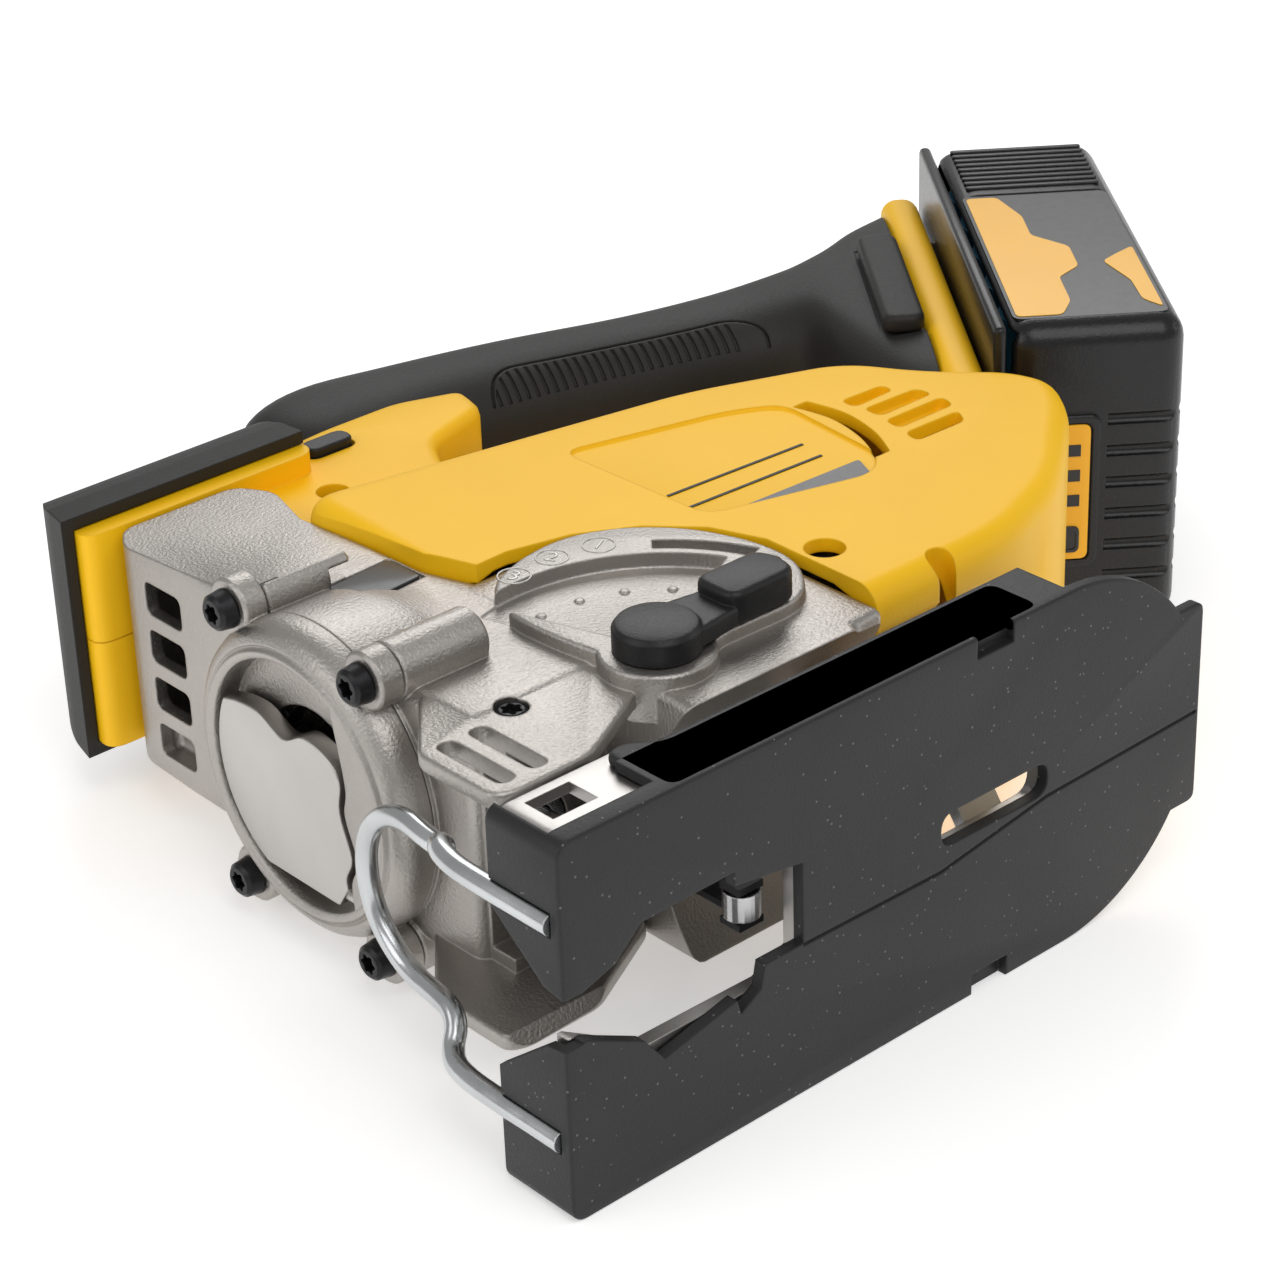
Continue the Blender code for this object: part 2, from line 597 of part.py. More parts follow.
def make_motor():
    axis = (0, MOTOR_Y, MID)
    part("front_bearing", ring("x", MOTOR_Y, MID, 3.3, 11, 106.4, 109.6, 24), "bright_steel")
    part("rear_bearing", ring("x", MOTOR_Y, MID, 3.3, 8, 177.6, 182, 24), "bright_steel")
    part("armature", turned("x", MOTOR_Y, MID, [
        (69.3, 0), (69.3, 3), (124, 3), (124, 12), (127, 15.2), (155, 15.2), (158, 12), (158, 9),
        (172, 9), (172, 3), (182, 3), (182, 0)], 24), "copper", pivot=axis)
    fan = part("motor_fan", ring("x", MOTOR_Y, MID, 3.3, 19, 113, 114.5, 24), "black_plastic", pivot=axis)
    combine(fan, "UNION", *[cutter("fan_blade", fan_blade(40 * number)) for number in range(9)])
    part("motor_stator", ring("x", MOTOR_Y, MID, 16, 19.6, 124, 158, 28), "dark_steel")
    part("brush_right", box((161, MOTOR_Y - 4, MID - 21), (169, MOTOR_Y + 4, MID - 9.5)), "copper")
    part("brush_left", box((161, MOTOR_Y - 4, MID + 9.5), (169, MOTOR_Y + 4, MID + 21)), "copper")


def make_orbit():
    hub_x, hub_y = DIAL_HUB
    lever = part("orbit_lever", rod("z", hub_x, hub_y, 8.5, DIAL_TOP + GAP, 76, 28), "black_plastic",
                 pivot=(hub_x, hub_y, 0), bevel=1.2)
    arm = [(hub_x, hub_y - 6), (hub_x + 20, hub_y - 5), (hub_x + 31, hub_y - 4.4), (hub_x + 33, hub_y + 1),
           (hub_x + 31, hub_y + 6.5), (hub_x + 16, hub_y + 7), (hub_x, hub_y + 8)]
    combine(lever, "UNION", cutter("orbit_arm", prism(arm, DIAL_TOP + GAP, 75.4), bevel=1.2),
            cutter("orbit_shaft", rod("z", hub_x, hub_y, 3, 60.5, 72, 16)))
    arms = joined([box((52.6, 13, MID - 4.6), (57, 54, MID - 3.1)),
                   box((52.6, 13, MID + 3.1), (57, 54, MID + 4.6))])
    fork = part("orbit_fork", arms, "dark_steel", pivot=(53.5, 52, MID))
    combine(fork, "UNION", cutter("fork_bridge", box((52.9, 46, MID - 5), (57.4, 52, MID + 5))),
            cutter("fork_toe", joined([box((49, 8.6, MID - 4.5), (55, 13.8, MID - 3.0)),
                                       box((49, 8.6, MID + 3.0), (55, 13.8, MID + 4.5))])))
    part("blade_roller", ring("z", 52, 11.2, 1.3, 3.6, MID - 2.7, MID + 2.7, 20), "bright_steel",
         pivot=(52, 11.2, 0))


# Housing

MOTOR_BLOCK = [(98, 37), (152, 37), (178, 47), (205, 69), (213, 80), (210, 91), (197.5, 104), (188, 121),
               (152, 135), (104, 144), (60, 152), (58, 92), (98, 60)]
COLUMN = [(60, 140), (104, 138), (106, 160), (112, 171), (131, 177), (134, 188), (118, 194), (98, 194),
          (60, 190)]
NOSE = [(24, 176), (27, 190), (34, 201), (45, 208), (60, 209), (76, 205.5), (84, 203), (84, 176)]
NOSE_DOME = [(150, 26.0), (181, 24.8), (188, 23.8), (194, 21.8), (200, 17.8), (206, 11.5), (209.5, 4.0)]


def nose_shape(name, margin, half_width):
    """The nose, grown by a margin and rounded over towards its top."""
    shape = cutter(name, prism(grown_outline(NOSE, margin), MID - half_width, MID + half_width))
    side = [(y + margin, MID + half + margin) for y, half in NOSE_DOME]
    other = [(y, 2 * MID - z) for y, z in reversed(side)]
    dome = cutter(name + "_dome", prism(side + other, -10, 120, "x"))
    combine(shape, "INTERSECT", dome)
    return shape


def make_housing():
    cut_column = cutter("column_full", prism(COLUMN, MID - COLUMN_HALF, MID + COLUMN_HALF), bevel=3)
    cut_nose = nose_shape("nose_full", 0, NOSE_HALF)
    hollows = [
        cutter("motor_hollow", prism(grown_outline(MOTOR_BLOCK, -HOUSING_WALL), HOUSING_LOW + 3,
                                     HOUSING_HIGH - 3), bevel=9),
        cutter("column_hollow", prism(grown_outline(COLUMN, -HOUSING_WALL), MID - COLUMN_HALF + 3,
                                      MID + COLUMN_HALF - 3)),
        nose_shape("nose_hollow", -HOUSING_WALL, NOSE_HALF - HOUSING_WALL)]
    envelopes = [
        cutter("upper_envelope", prism(grown_outline(UPPER_CASE, GAP), -5, 85)),
        cutter("dial_envelope", prism(grown_outline(DIAL_CASE, GAP), -5, 85)),
        cutter("core_envelope", box([value - GAP for value in CORE_LOW],
                                    [value + GAP for value in CORE_HIGH]))]
    trigger_slot = cutter("trigger_slot", box((110.5, 160, MID - 8.4), (130.6, 187.5, MID + 8.4)))
    lock_outline = rounded_outline([(86, 181), (86, 187.6), (99, 187.6), (99, 181)], 3)
    lock_hole = cutter("lock_hole", prism(lock_outline, 0, 80))
    rear_pocket = cutter("bearing_pocket", rod("x", MOTOR_Y, MID, 8.3, 174, 182.3, 24))
    screw_holes = cutter("housing_screw_holes", joined([rod("z", x, y, 3.6, 60, 80, 16)
                                                        for x, y in HOUSING_SCREWS]))
    low_side = cutter("low_side", box((-50, -50, -50), (400, 300, MID + 0.15)))
    high_side = cutter("high_side", box((-50, -50, MID - 0.15), (400, 300, 150)))
    for name, other_side in (("housing_left", low_side), ("housing_right", high_side)):
        shell = part(name, prism(MOTOR_BLOCK, HOUSING_LOW, HOUSING_HIGH), "yellow_plastic", bevel=11,
                     segments=4)
        combine(shell, "UNION", cut_column, cut_nose)
        combine(shell, "DIFFERENCE", *hollows, *envelopes, shoe_sweep(), trigger_slot, lock_hole, rear_pocket)
        if name == "housing_left":
            combine(shell, "DIFFERENCE", screw_holes)
        combine(shell, "DIFFERENCE", other_side)
    for number, (x, y) in enumerate(HOUSING_SCREWS, 1):
        part(f"housing_screw_{number}", rod("z", x, y, 3.1, 62, 66, 16), "dark_steel")


def make_bumper():
    bumper = part("nose_bumper", box((15, 181, 5), (84, 220, 73)), "black_rubber")
    outer = nose_shape("bumper_skin", BUMPER_THICKNESS, NOSE_HALF + BUMPER_THICKNESS)
    inner = nose_shape("nose_envelope", GAP, NOSE_HALF + GAP)
    column = cutter("bumper_column_room", prism(grown_outline(COLUMN, GAP), MID - COLUMN_HALF - GAP,
                                                MID + COLUMN_HALF + GAP))
    combine(bumper, "INTERSECT", outer)
    combine(bumper, "DIFFERENCE", inner, column)


def battery_point(along, inward):
    """Where a point of the battery's own frame lies in the tool's frame."""
    turn = math.radians(BATTERY_TILT)
    return (BATTERY_CORNER[0] + along * math.cos(turn) - inward * math.sin(turn),
            BATTERY_CORNER[1] + along * math.sin(turn) + inward * math.cos(turn))


def handle_sections(shrink, end):
    """Handle and foot; the last sections lie square to the battery, down to a given level."""
    lean = BATTERY_TILT - 90
    sections = [(90, 204, 9, 15, 12, 0.8), (98, 206, 17, 18.5, 8, 0.8), (112, 208, 20, 19, 0, 0.8),
                (132, 207, 19, 18, -6, 0.85), (160, 201, 18, 17.5, -12, 0.85), (190, 192, 17, 17, -16, 0.85),
                (213, 185, 17.5, 17.5, -22, 0.8), (*battery_point(73, 81), 21, 20, -32, 0.75),
                (*battery_point(67, 72), 33, 22, lean, 0.55), (*battery_point(60, 63), 48, 23.5, lean, 0.4),
                (*battery_point(58, end), 56, 24.5, lean, 0.32)]
    return [(x, y, height - shrink, width - shrink, turn, power)
            for x, y, height, width, turn, power in sections]


def make_handle(frame):
    hollow = cutter("handle_hollow", loft(handle_sections(3.0, 50.0)[1:]))
    column_room = cutter("column_room", prism(grown_outline(COLUMN, GAP), MID - COLUMN_HALF - GAP,
                                              MID + COLUMN_HALF + GAP))
    nose_room = nose_shape("nose_room", BUMPER_THICKNESS + GAP, MID)
    motor_room = cutter("motor_room", prism(grown_outline(MOTOR_BLOCK, GAP), HOUSING_LOW - GAP,
                                            HOUSING_HIGH + GAP))
    channel = cutter("handle_channel", box((1.5, 45, RAIL_ROOM[0]),
                                           (140, BATTERY_HEIGHT + RAIL_HEIGHT + 2, RAIL_ROOM[1])), frame)
    pads = [cutter("pad_room", box((PAD_START - GAP, 50, low - GAP),
                                   (PAD_END + GAP, PAD_TOP + GAP, high + GAP)), frame)
            for low, high in PAD_LEVELS]
    low_side = bpy.data.objects["cut_low_side"]
    high_side = bpy.data.objects["cut_high_side"]
    for name, other_side in (("handle_left", low_side), ("handle_right", high_side)):
        shell = part(name, loft(handle_sections(0.0, FOOT_BAND_TOP + GAP)), "black_rubber", smooth=True)
        combine(shell, "DIFFERENCE", hollow, column_room, nose_room, motor_room, channel, *pads, other_side)


def make_controls():
    part("trigger", prism([(111.5, 160), (119, 157.5), (127, 163), (129.6, 172), (129.6, 181.5),
                           (111.5, 181.5)], MID - 7.8, MID + 7.8), "black_plastic",
         pivot=(120, 172, MID), bevel=1.5)
    part("lock_off_button", prism(rounded_outline([(86.6, 181.6), (86.6, 187), (98.4, 187), (98.4, 181.6)],
                                                  2.6), MID - COLUMN_HALF - 2, MID + COLUMN_HALF + 2),
         "black_plastic", bevel=0.6)
    part("power_switch", box((122, 198.5, MID - 10), (150, 214, MID + 10)), "black_plastic", bevel=1)


# Battery and its holder, in the battery's own frame

def make_foot(frame):
    band = part("foot_band", box((-1, BATTERY_HEIGHT + 0.6, 14), (BATTERY_LENGTH - 1, FOOT_BAND_TOP, 64)),
                "yellow_plastic", parent=frame, bevel=4)
    channel = cutter("rail_channel", box((1.5, BATTERY_HEIGHT - 2, RAIL_ROOM[0]),
                                         (140, BATTERY_HEIGHT + RAIL_HEIGHT + 2, RAIL_ROOM[1])), frame)
    combine(band, "DIFFERENCE", channel)
    for name, (low, high) in zip(("foot_pad_right", "foot_pad_left"), PAD_LEVELS):
        part(name, box((PAD_START, FOOT_BAND_TOP + GAP, low), (PAD_END, PAD_TOP, high)), "black_rubber",
             parent=frame, bevel=1.5)
    part("terminal_block", box((38, BATTERY_HEIGHT + RAIL_HEIGHT + 2.4, 26), (78, 67, 52)),
         "black_plastic", parent=frame, bevel=1)


def make_battery(frame):
    length, height, width = BATTERY_LENGTH, BATTERY_HEIGHT, BATTERY_WIDTH
    tub = part("battery_case", box((0, 0, 0), (length, height - 3.2, width)), "black_gloss", parent=frame,
               bevel=5, segments=3)
    room = cutter("battery_room", box((BATTERY_WALL, BATTERY_WALL, BATTERY_WALL),
                                      (length - BATTERY_WALL, height + 5, width - BATTERY_WALL)), frame)
    pocket = cutter("button_pocket", box((length - 6, 23.7, 21.7), (length + 6, 38.3, 54.3)), frame)
    combine(tub, "DIFFERENCE", room, pocket)
    lid = part("battery_lid", box((0, height - 2.9, 0), (length, height, width)), "black_gloss",
               parent=frame, bevel=1)
    rails = cutter("battery_rails", box((6, height - 1, 21), (106, height + RAIL_HEIGHT, 55)), frame,
                   bevel=1.5)
    terminal_slots = cutter("terminal_slots", joined([
        box((-5, height + 6, z), (40, height + RAIL_HEIGHT + 2, z + 2))
        for z in (26, 32, 38, 44, 49)]), frame)
    combine(lid, "UNION", rails)
    combine(lid, "DIFFERENCE", terminal_slots)
    pitch = 2 * CELL_RADIUS + 0.4
    start = (length - 4 * pitch) / 2
    cells = [rod("z", start + pitch * column, 12.0 + pitch * row, CELL_RADIUS, (width - CELL_LENGTH) / 2,
                 (width + CELL_LENGTH) / 2, 10) for column in range(5) for row in range(2)]
    middle = width / 2
    pack = part("battery_cells", box((start, 12, middle - 3), (length - start, 12 + pitch, middle + 3)),
                "cell_wrap", parent=frame)
    combine(pack, "UNION", *[cutter("cell", cell, frame) for cell in cells])
    part("battery_gauge", box((-1.2, 22, 19), (-0.3, 34, 52)), "yellow_plastic", parent=frame, bevel=0.3)
    part("battery_release_button", box((length - 2, 24, 22), (length + 2.4, 38, 54)), "black_plastic",
         parent=frame, bevel=1)


def main():
    make_shoe()
    make_wire_guard()
    make_bevel_seat()
    make_gear_case()
    make_front_cover()
    make_blade_lever()
    make_drive()
    make_motor()
    make_orbit()
    make_housing()
    make_bumper()
    frame = make_empty("battery_frame", (*BATTERY_CORNER, 0), TOOL, BATTERY_TILT)
    make_handle(frame)
    make_controls()
    make_foot(frame)
    make_battery(frame)


clear_scene()
PARTS = make_collection("jigsaw")
CUTTERS = make_collection("cutters")
TOOL = make_empty("tool", (-CENTRE_X, -CENTRE_Y, 0))
main()
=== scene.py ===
"""The look of a cordless jigsaw lying on its right side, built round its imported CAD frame.

Lengths are in millimetres in the tool's own frame until a mesh is written: X runs from the
blade end to the battery, Y from the sole to the handle, and Z, which is up, from the tool's
right side to its left side. Meshes are written in metres in the shared frame.
"""

import math

import bmesh
import bpy
from mathutils import Matrix, Vector


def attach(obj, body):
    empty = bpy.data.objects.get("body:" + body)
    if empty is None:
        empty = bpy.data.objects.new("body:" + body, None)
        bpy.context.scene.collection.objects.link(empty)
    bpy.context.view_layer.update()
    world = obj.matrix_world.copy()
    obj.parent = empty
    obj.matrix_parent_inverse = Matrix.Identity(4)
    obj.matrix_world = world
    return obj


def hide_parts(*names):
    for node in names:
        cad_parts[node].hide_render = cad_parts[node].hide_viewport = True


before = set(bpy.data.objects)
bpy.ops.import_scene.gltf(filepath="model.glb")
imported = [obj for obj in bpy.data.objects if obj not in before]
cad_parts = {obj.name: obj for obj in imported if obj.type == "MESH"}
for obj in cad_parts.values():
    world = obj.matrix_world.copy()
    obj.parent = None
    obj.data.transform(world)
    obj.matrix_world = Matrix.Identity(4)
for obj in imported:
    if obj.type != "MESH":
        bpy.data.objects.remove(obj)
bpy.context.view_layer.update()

MM = 0.001
MID = 39.0
CENTRE = Vector((156.7, 114.0, 0.0))
BATTERY_CORNER = (245.7, 70.5)
BATTERY_TILT = 52.0
CASE_HIGH = 67.0
CASE_LOW = 11.0
DIAL_TOP = 70.0
CAP_Y = 101.0
HUB = (68.0, 50.0)


# Shapes, each returned as a bmesh in millimetres

def from_axes(axis, u, v, w):
    """Place a flat point (u, v) at height w along the named axis."""
    if axis == "x":
        return Vector((w, u, v))
    if axis == "y":
        return Vector((u, w, v))
    return Vector((u, v, w))


def box(low, high):
    shape = bmesh.new()
    bmesh.ops.create_cube(shape, size=1.0)
    low = Vector(low)
    high = Vector(high)
    size = high - low
    for vert in shape.verts:
        vert.co = Vector((vert.co.x * size.x, vert.co.y * size.y, vert.co.z * size.z))
        vert.co += (low + high) / 2
    return shape


def prism(outline, low, high, axis="z"):
    """Extrude a flat outline from low to high along an axis."""
    shape = bmesh.new()
    corners = [shape.verts.new(from_axes(axis, u, v, low)) for u, v in outline]
    face = shape.faces.new(corners)
    grown = bmesh.ops.extrude_face_region(shape, geom=[face])
    moved = [item for item in grown["geom"] if isinstance(item, bmesh.types.BMVert)]
    bmesh.ops.translate(shape, verts=moved, vec=from_axes(axis, 0, 0, high - low))
    bmesh.ops.recalc_face_normals(shape, faces=shape.faces)
    return shape


def rod(axis, u, v, radius, low, high, sides=48):
    """A cylinder or cone along an axis, centred on (u, v) in the plane across it."""
    profile = [(low, 0), (low, radius), (high, radius), (high, 0)]
    return turned(axis, u, v, profile, sides)


def turned(axis, u, v, profile, sides=64):
    """Spin a closed profile of (along, radius) points about an axis."""
    shape = bmesh.new()
    rings = []
    for along, radius in profile:
        if radius == 0:
            rings.append([shape.verts.new(from_axes(axis, u, v, along))])
            continue
        rings.append([])
        for step in range(sides):
            angle = 2 * math.pi * step / sides
            rings[-1].append(shape.verts.new(from_axes(axis, u + radius * math.cos(angle),
                                                       v + radius * math.sin(angle), along)))
    for first, second in zip(rings, rings[1:] + rings[:1]):
        for step in range(sides):
            after = (step + 1) % sides
            corners = [first[step % len(first)], first[after % len(first)],
                       second[after % len(second)], second[step % len(second)]]
            corners = [vert for index, vert in enumerate(corners) if vert not in corners[:index]]
            if len(corners) > 2:
                shape.faces.new(corners)
    bmesh.ops.recalc_face_normals(shape, faces=shape.faces)
    return shape


def arc(centre_u, centre_v, radius, start, end, steps):
    """Points on an arc, angles in degrees."""
    points = []
    for step in range(steps + 1):
        angle = math.radians(start + (end - start) * step / steps)
        points.append((centre_u + radius * math.cos(angle), centre_v + radius * math.sin(angle)))
    return points


def grown(outline, distance):
    """Move every edge of an outline outwards by a distance."""
    area = sum(a[0] * b[1] - b[0] * a[1] for a, b in zip(outline, outline[1:] + outline[:1]))
    side = distance if area > 0 else -distance
    result = []
    for index, here in enumerate(outline):
        before = Vector(outline[index - 1])
        after = Vector(outline[(index + 1) % len(outline)])
        first = (Vector(here) - before).normalized()
        second = (after - Vector(here)).normalized()
        normal_a = Vector((first.y, -first.x))
        normal_b = Vector((second.y, -second.x))
        middle = (normal_a + normal_b).normalized()
        reach = side / max(0.35, middle.dot(normal_a))
        result.append(tuple(Vector(here) + middle * reach))
    return result


def rounded(outline, radius, steps=6):
    """Replace the corners of an outline by short curves."""
    result = []
    for index, here in enumerate(outline):
        corner = Vector(here)
        before = Vector(outline[index - 1])
        after = Vector(outline[(index + 1) % len(outline)])
        reach = min(radius, (before - corner).length * 0.48, (after - corner).length * 0.48)
        start = corner + (before - corner).normalized() * reach
        end = corner + (after - corner).normalized() * reach
        for step in range(steps + 1):
            t = step / steps
            result.append(tuple(start * (1 - t) ** 2 + corner * 2 * t * (1 - t) + end * t ** 2))
    return result


def band(centre, inner, outer, start, end, steps=24):
    """A closed arc-shaped strip with square ends."""
    return (arc(*centre, outer, start, end, steps) + arc(*centre, inner, end, start, steps))


def smooth_line(points, steps=6):
    """A curve through the given points, as tuples of any length."""
    result = []
    for index in range(len(points) - 1):
        p0 = points[max(index - 1, 0)]
        p1 = points[index]
        p2 = points[index + 1]
        p3 = points[min(index + 2, len(points) - 1)]
        for step in range(steps):
            t = step / steps
            result.append(tuple(
                0.5 * (2 * b + (c - a) * t + (2 * a - 5 * b + 4 * c - d) * t * t
                       + (3 * b - a - 3 * c + d) * t ** 3) for a, b, c, d in zip(p0, p1, p2, p3)))
    result.append(tuple(points[-1]))
    return result


def loft(sections, sides=72):
    """Bridge rounded sections: (centre x, centre y, half height, half width, lean, squareness)."""
    shape = bmesh.new()
    loops = []
    for x, y, height, width, lean, power in sections:
        up = Vector((-math.sin(math.radians(lean)), math.cos(math.radians(lean)), 0))
        verts = []
        for step in range(sides):
            angle = 2 * math.pi * step / sides
            across = math.copysign(abs(math.cos(angle)) ** power, math.cos(angle)) * width
            along = math.copysign(abs(math.sin(angle)) ** power, math.sin(angle)) * height
            verts.append(shape.verts.new(Vector((x, y, MID + across)) + up * along))
        loops.append(verts)
    for first, second in zip(loops, loops[1:]):
        for step in range(sides):
            after = (step + 1) % sides
            shape.faces.new((first[step], first[after], second[after], second[step]))
    shape.faces.new(loops[0])
    shape.faces.new(loops[-1])
    bmesh.ops.recalc_face_normals(shape, faces=shape.faces)
    return shape


def moved(shape, matrix):
    bmesh.ops.transform(shape, matrix=matrix, verts=shape.verts)
    return shape


BATTERY_FRAME = (Matrix.Translation((*BATTERY_CORNER, 0))
                 @ Matrix.Rotation(math.radians(BATTERY_TILT), 4, "Z"))


def in_battery(shape):
    """Carry a shape from the battery's own frame to the tool's frame."""
    return moved(shape, BATTERY_FRAME)


def battery_point(along, inward):
    point = BATTERY_FRAME @ Vector((along, inward, 0))
    return (point.x, point.y)


# Objects

def write_mesh(name, shape):
    mesh = bpy.data.meshes.new(name)
    for vert in shape.verts:
        vert.co = (vert.co - CENTRE) * MM
    shape.to_mesh(mesh)
    shape.free()
    item = bpy.data.objects.new(name, mesh)
    bpy.context.scene.collection.objects.link(item)
    return item


def settle(item):
    """Write an object's modifiers into its mesh."""
    graph = bpy.context.evaluated_depsgraph_get()
    solid = bpy.data.meshes.new_from_object(item.evaluated_get(graph))
    old = item.data
    item.modifiers.clear()
    item.data = solid
    bpy.data.meshes.remove(old)


def soften(item, width, segments=3, limit=32):
    """Round an object's edges now."""
    bevel = item.modifiers.new("soften", "BEVEL")
    bevel.width = width * MM
    bevel.segments = segments
    bevel.limit_method = "ANGLE"
    bevel.angle_limit = math.radians(limit)
    settle(item)


def combine(item, operation, *tools):
    """Join, cut or cross an object with (shape, bevel width) pairs or plain shapes."""
    for number, tool in enumerate(tools):
        shape, width = tool if isinstance(tool, tuple) else (tool, 0)
        other = write_mesh(f"tool_{number}", shape)
        if width:
            soften(other, width)
        boolean = item.modifiers.new("combine", "BOOLEAN")
        boolean.operation = operation
        boolean.solver = "EXACT"
        boolean.object = other
        settle(item)
        bpy.data.objects.remove(other)


def piece(name, shape, material, body, bevel=0.0, segments=3):
    item = write_mesh(name, shape)
    if bevel:
        soften(item, bevel, segments)
    item.data.materials.append(MATERIALS[material])
    item["body"] = body
    PIECES.append(item)
    return item


def dress(item, angle=34):
    """Shade an object's soft edges smooth and keep its hard ones."""
    item.data.shade_smooth()
    item.data.set_sharp_from_angle(angle=math.radians(angle))


def tube(name, points, radius, material, body, sides=8):
    """A bent wire with rounded ends."""
    data = bpy.data.curves.new(name, "CURVE")
    data.dimensions = "3D"
    data.bevel_depth = radius * MM
    data.bevel_resolution = sides
    data.use_fill_caps = True
    spline = data.splines.new("POLY")
    spline.points.add(len(points) - 1)
    for target, point in zip(spline.points, points):
        target.co = (*((Vector(point) - CENTRE) * MM), 1.0)
    curve = bpy.data.objects.new(name, data)
    bpy.context.scene.collection.objects.link(curve)
    graph = bpy.context.evaluated_depsgraph_get()
    mesh = bpy.data.meshes.new_from_object(curve.evaluated_get(graph))
    bpy.data.objects.remove(curve)
    item = bpy.data.objects.new(name, mesh)
    bpy.context.scene.collection.objects.link(item)
    item.data.materials.clear()
    item.data.materials.append(MATERIALS[material])
    item["body"] = body
    PIECES.append(item)
    return item


# Materials

def new_material(name, colour, roughness, metallic=0.0, tone=0.12, grain=900.0, bump=0.05,
                 edge=0.35, rough_spread=0.08, coat=0.0, speck=0.0, streak=None,
                 specular=0.32):
    """A surface with tone variation, fine grain, softened edges and, where asked, specks or streaks."""
    material = bpy.data.materials.new(name)
    material.use_nodes = True
    nodes = material.node_tree.nodes
    links = material.node_tree.links
    shader = nodes["Principled BSDF"]
    shader.inputs["Metallic"].default_value = metallic
    shader.inputs["Coat Weight"].default_value = coat
    shader.inputs["Coat Roughness"].default_value = 0.18
    shader.inputs["Specular IOR Level"].default_value = specular

    place = nodes.new("ShaderNodeTexCoord")
    broad = nodes.new("ShaderNodeTexNoise")
    broad.inputs["Scale"].default_value = 38.0
    broad.inputs["Detail"].default_value = 6.0
    links.new(place.outputs["Object"], broad.inputs["Vector"])
    fine = nodes.new("ShaderNodeTexNoise")
    fine.inputs["Scale"].default_value = grain
    fine.inputs["Detail"].default_value = 3.0
    if streak:
        stretch = nodes.new("ShaderNodeMapping")
        stretch.inputs["Scale"].default_value = streak
        links.new(place.outputs["Object"], stretch.inputs["Vector"])
        links.new(stretch.outputs["Vector"], fine.inputs["Vector"])
    else:
        links.new(place.outputs["Object"], fine.inputs["Vector"])

    tones = nodes.new("ShaderNodeValToRGB")
    dark = [channel * (1 - tone) for channel in colour]
    light = [min(1.0, channel * (1 + tone)) for channel in colour]
    tones.color_ramp.elements[0].position = 0.3
    tones.color_ramp.elements[0].color = (*dark, 1)
    tones.color_ramp.elements[1].position = 0.7
    tones.color_ramp.elements[1].color = (*light, 1)
    links.new(broad.outputs["Fac"], tones.inputs["Fac"])
    surface = tones.outputs["Color"]
    if speck:
        dots = nodes.new("ShaderNodeTexVoronoi")
        dots.inputs["Scale"].default_value = 420.0
        links.new(place.outputs["Object"], dots.inputs["Vector"])
        near = nodes.new("ShaderNodeMath")
        near.operation = "LESS_THAN"
        near.inputs[1].default_value = 0.10
        links.new(dots.outputs["Distance"], near.inputs[0])
        amount = nodes.new("ShaderNodeMath")
        amount.operation = "MULTIPLY"
        amount.inputs[1].default_value = speck
        links.new(near.outputs["Value"], amount.inputs[0])
        mix = nodes.new("ShaderNodeMix")
        mix.data_type = "RGBA"
        mix.inputs["B"].default_value = (0.30, 0.30, 0.30, 1)
        links.new(amount.outputs["Value"], mix.inputs["Factor"])
        links.new(surface, mix.inputs["A"])
        surface = mix.outputs["Result"]
    links.new(surface, shader.inputs["Base Color"])

    spread = nodes.new("ShaderNodeMapRange")
    spread.inputs["To Min"].default_value = roughness - rough_spread
    spread.inputs["To Max"].default_value = roughness + rough_spread
    links.new(fine.outputs["Fac"], spread.inputs["Value"])
    links.new(spread.outputs["Result"], shader.inputs["Roughness"])

    rounding = nodes.new("ShaderNodeBevel")
    rounding.samples = 6
    rounding.inputs["Radius"].default_value = edge * MM
    relief = nodes.new("ShaderNodeBump")
    relief.inputs["Strength"].default_value = bump
    relief.inputs["Distance"].default_value = 0.0004
    links.new(fine.outputs["Fac"], relief.inputs["Height"])
    links.new(rounding.outputs["Normal"], relief.inputs["Normal"])
    links.new(relief.outputs["Normal"], shader.inputs["Normal"])
    return material


